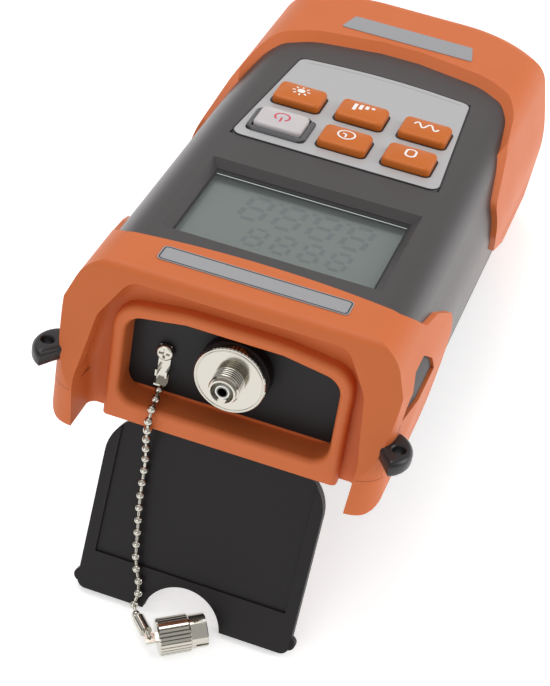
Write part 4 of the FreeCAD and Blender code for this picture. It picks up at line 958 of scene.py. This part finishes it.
@dataclass(frozen=True)
class Eyelet:
    """A strap eyelet: a thin leaf with a rounded rim, which springs from the bumper's corner."""

    HOLE: ClassVar[Point2] = (46.4, 4.0)
    ROOT: ClassVar[tuple[Point2, ...]] = ((41.0, 10.4), (41.0, 3.6), (42.0, 2.8))

    side: float
    hole_radius: float = 1.7
    chamfer: float = 0.3
    low: float = 16.6
    high: float = 21.2
    rim: float = 1.6
    rim_steps: int = 5
    steps: int = 72

    def outline(self) -> list[Point2]:
        """Draws the leaf seen from above, on the right side.

        Returns:
            One point for each step round the hole.
        """
        corners = arc(42.25, 4.1, 7.7, -62, 70, 40) + list(self.ROOT)
        found = []
        for k in range(self.steps):
            heading = Vector((math.cos(math.tau * k / self.steps), math.sin(math.tau * k / self.steps)))
            reaches = []
            for here, there in zip(corners, corners[1:] + corners[:1]):
                run, gap = Vector(there) - Vector(here), Vector(here) - Vector(self.HOLE)
                turn = heading.x * run.y - heading.y * run.x
                if abs(turn) < 1e-9:
                    continue
                along = (gap.x * run.y - gap.y * run.x) / turn
                share = (gap.x * heading.y - gap.y * heading.x) / turn
                if along > 0 and -1e-6 <= share <= 1 + 1e-6:
                    reaches.append(along)
            spot = Vector(self.HOLE) + heading * min(reaches)
            found.append((spot.x, spot.y))
        return found

    def drawn_in(self, edge: Sequence[Point2], inset: float, w: float) -> list[Point3]:
        """Draws the leaf's edge in towards the hole.

        Args:
            edge: points round the leaf.
            inset: how far it is drawn in.
            w: height of the loop.

        Returns:
            The loop.
        """
        loop = []
        for u, v in edge:
            gap = Vector((u, v)) - Vector(self.HOLE)
            spot = Vector(self.HOLE) + gap * max(0.1, 1 - inset / gap.length)
            loop.append((self.side * spot.x, spot.y, w))
        return loop

    def hole(self, radius: float, w: float) -> list[Point3]:
        """Draws a circle about the hole.

        Args:
            radius: its radius.
            w: height of the loop.

        Returns:
            The loop.
        """
        return [(self.side * (self.HOLE[0] + radius * math.cos(math.tau * k / self.steps)),
                 self.HOLE[1] + radius * math.sin(math.tau * k / self.steps), w) for k in range(self.steps)]

    def loops(self) -> list[list[Point3]]:
        """Draws the leaf's surface.

        Returns:
            Closed loops from the hole's underside, round the rim, and back to the hole.
        """
        edge, rim, high, low = self.outline(), self.rim, self.high, self.low
        turns = [math.radians(90 * k / self.rim_steps) for k in range(self.rim_steps + 1)]
        upper = [self.drawn_in(edge, rim * (1 - math.sin(a)), high - rim * (1 - math.cos(a))) for a in turns]
        lower = [self.drawn_in(edge, rim * (1 - math.cos(a)), low + rim * (1 - math.sin(a))) for a in turns]
        wide = self.hole_radius + self.chamfer
        return ([self.hole(self.hole_radius, low), self.hole(self.hole_radius, high - self.chamfer),
                 self.hole(wide, high)] + upper + lower)

    def add(self, shape: bmesh.types.BMesh) -> None:
        """Adds the leaf to a mesh.

        Args:
            shape: mesh to add to.
        """
        rings = [[shape.verts.new(spot) for spot in ring] for ring in self.loops()]
        for here, there in zip(rings, rings[1:] + rings[:1]):
            bridge(shape, here, there)

    @classmethod
    def build_pair(cls, place: Matrix, wardrobe: Wardrobe) -> None:
        """Makes both eyelets in place of the plain ones, and the rubber round their roots.

        Args:
            place: transform from the meter's millimetres to the row.
            wardrobe: finishes of the meter.
        """
        stock = wardrobe.materials
        for node, side in (("eyelet_right", 1.0), ("eyelet_left", -1.0)):
            leaf = mesh_piece(node + "_leaf", cls(side).add, place, stock["lug_plastic"])
            smooth_by_angle(leaf)
            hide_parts(node)
            fill = mesh_piece(node + "_root_fill", CornerFill(side).add, place, stock["bumper_rubber"])
            smooth_by_angle(fill)


@dataclass(frozen=True)
class CapFluteShade:
    """Painted shade: dark strips along the bottoms of the dust cap's flutes."""

    CENTRE: ClassVar[Point3] = (2.5, -103.76, 5.0)
    SECTION: ClassVar[tuple[Point2, ...]] = ((4.58, -0.02), (4.58, 0.02), (4.8, 0.2), (4.8, -0.2))

    wardrobe: Wardrobe
    count: int = 30
    turn_deg: float = -57.0
    near: float = -6.05
    far: float = 1.65

    def add(self, shape: bmesh.types.BMesh) -> None:
        """Adds every strip to a mesh.

        Args:
            shape: mesh to add to.
        """
        for k in range(self.count):
            turn = math.tau * k / self.count
            out = Vector((-math.sin(turn), 0.0, math.cos(turn)))
            side = Vector((math.cos(turn), 0.0, math.sin(turn)))
            corners = [out * r + side * t for r, t in self.SECTION]
            near = [shape.verts.new(corner + Vector((0, self.near, 0))) for corner in corners]
            far = [shape.verts.new(corner + Vector((0, self.far, 0))) for corner in corners]
            shape.faces.new(near)
            shape.faces.new(far[::-1])
            bridge(shape, near, far)

    def build(self) -> None:
        """Makes the strips in place on the cap."""
        place = (Matrix.Translation(Vector(self.CENTRE) * MM)
                 @ Matrix.Rotation(math.radians(self.turn_deg), 4, "Z") @ Matrix.Scale(MM, 4))
        # painted shade in the cap's flutes
        mesh_piece("cap_flutes", self.add, place, self.wardrobe.materials["nickel_painted_shade"])


# ------------------------------------------------------------------ studio
@dataclass
class Studio:
    """Floor, soft lights, dark cards and camera."""

    CARDS: ClassVar[dict[str, list[Point3]]] = {
        "card_front": [(-0.55, -1.3, 0.05), (0.05, -1.3, 0.05), (0.05, -1.3, 0.9), (-0.55, -1.3, 0.9)],
        "card_right": [(1.2, -0.7, 0.05), (1.2, -0.35, 0.05), (1.2, -0.35, 0.9), (1.2, -0.7, 0.9)],
        "card_left": [(-1.2, -0.1, 0.05), (-1.2, -0.6, 0.05), (-1.2, -0.6, 0.7), (-1.2, -0.1, 0.7)],
    }
    LIGHTS: ClassVar[tuple[tuple[str, Point3, float, float], ...]] = (
        ("key_light", (-0.35, 0.45, 1.0), 0.7, 5.5),
        ("side_light", (1.0, 0.35, 0.5), 0.6, 4.5),
        ("front_light", (-0.3, -1.1, 0.5), 0.6, 2.4),
    )

    eye: Point3 = (0.1014, -0.37478, 0.46733)
    turn_deg: Point3 = (40.02, -2.869, 19.777)
    lens_mm: float = 134.836
    sensor_mm: float = 36.0
    floor_half: float = 3.0
    aim: Point3 = (0.0, 0.0, 0.05)
    white: float = 0.92
    glow: float = 0.45
    surround: float = 0.58

    def build_floor(self) -> None:
        """Lays a large plain pale floor."""
        data = bpy.data.meshes.new("floor")
        half = self.floor_half
        corners = [(-half, -half, 0), (half, -half, 0), (half, half, 0), (-half, half, 0)]
        data.from_pydata(corners, [], [(0, 1, 2, 3)])
        material = bpy.data.materials.new("floor_paper")
        material.use_nodes = True
        shader = material.node_tree.nodes["Principled BSDF"]
        shader.inputs["Base Color"].default_value = (self.white, self.white, self.white, 1.0)
        shader.inputs["Roughness"].default_value = 0.9
        shader.inputs["Specular IOR Level"].default_value = 0.1
        shader.inputs["Emission Color"].default_value = (1.0, 1.0, 1.0, 1.0)
        shader.inputs["Emission Strength"].default_value = self.glow
        data.materials.append(material)
        floor = bpy.data.objects.new("floor", data)
        bpy.context.scene.collection.objects.link(floor)

    def add_light(self, name: str, place: Point3, size: float, power: float) -> None:
        """Adds one soft square light aimed at the meter.

        Args:
            name: name of the light.
            place: its place in metres.
            size: its side in metres.
            power: its power in watts.
        """
        data = bpy.data.lights.new(name, "AREA")
        data.size = size
        data.energy = power
        lamp = bpy.data.objects.new(name, data)
        lamp.location = place
        lamp.rotation_euler = (Vector(self.aim) - Vector(place)).to_track_quat("-Z", "Y").to_euler()
        bpy.context.scene.collection.objects.link(lamp)

    def build_lights(self) -> None:
        """Sets a bright surround, a large light overhead and softer ones at the sides."""
        world = bpy.data.worlds.new("surround")
        world.use_nodes = True
        sky = world.node_tree.nodes["Background"]
        sky.inputs["Color"].default_value = (1.0, 1.0, 1.0, 1.0)
        sky.inputs["Strength"].default_value = self.surround
        bpy.context.scene.world = world
        for name, place, size, power in self.LIGHTS:
            self.add_light(name, place, size, power)

    def build_camera(self) -> None:
        """Places the camera."""
        data = bpy.data.cameras.new("camera")
        data.sensor_fit = "HORIZONTAL"
        data.sensor_width = self.sensor_mm
        data.lens = self.lens_mm
        data.clip_start = 0.01
        camera = bpy.data.objects.new("camera", data)
        camera.location = self.eye
        camera.rotation_euler = Euler([math.radians(a) for a in self.turn_deg], "XYZ")
        bpy.context.scene.collection.objects.link(camera)
        bpy.context.scene.camera = camera

    def build_cards(self) -> None:
        """Stands dark cards round the meter, for the bright metal to reflect."""
        material = bpy.data.materials.new("card_black")
        material.use_nodes = True
        shader = material.node_tree.nodes["Principled BSDF"]
        shader.inputs["Base Color"].default_value = (0.01, 0.01, 0.01, 1.0)
        shader.inputs["Roughness"].default_value = 0.8
        for name, corners in self.CARDS.items():
            data = bpy.data.meshes.new(name)
            data.from_pydata(corners, [], [(0, 1, 2, 3)])
            data.materials.append(material)
            card = bpy.data.objects.new(name, data)
            bpy.context.scene.collection.objects.link(card)

    def build(self) -> None:
        """Builds the whole studio."""
        bpy.context.scene.view_settings.view_transform = "Standard"
        self.build_cards()
        self.build_floor()
        self.build_lights()
        self.build_camera()


def main() -> None:
    """Builds every part of the scene in order."""
    logging.basicConfig(level=logging.INFO, format="%(name)s: %(message)s")
    wardrobe = Wardrobe()
    wardrobe.dress_nodes()
    place = CaseAxes.from_joints(frame["joints"]).matrix()
    for cap in KEY_CAPS:
        cap.build(place, wardrobe)
    Display(place, wardrobe).build()
    Trims(place, wardrobe).build()
    PartingLines(place, wardrobe).build()
    Eyelet.build_pair(place, wardrobe)
    CapFluteShade(wardrobe).build()
    Studio().build()


if __name__ == "__main__":
    main()
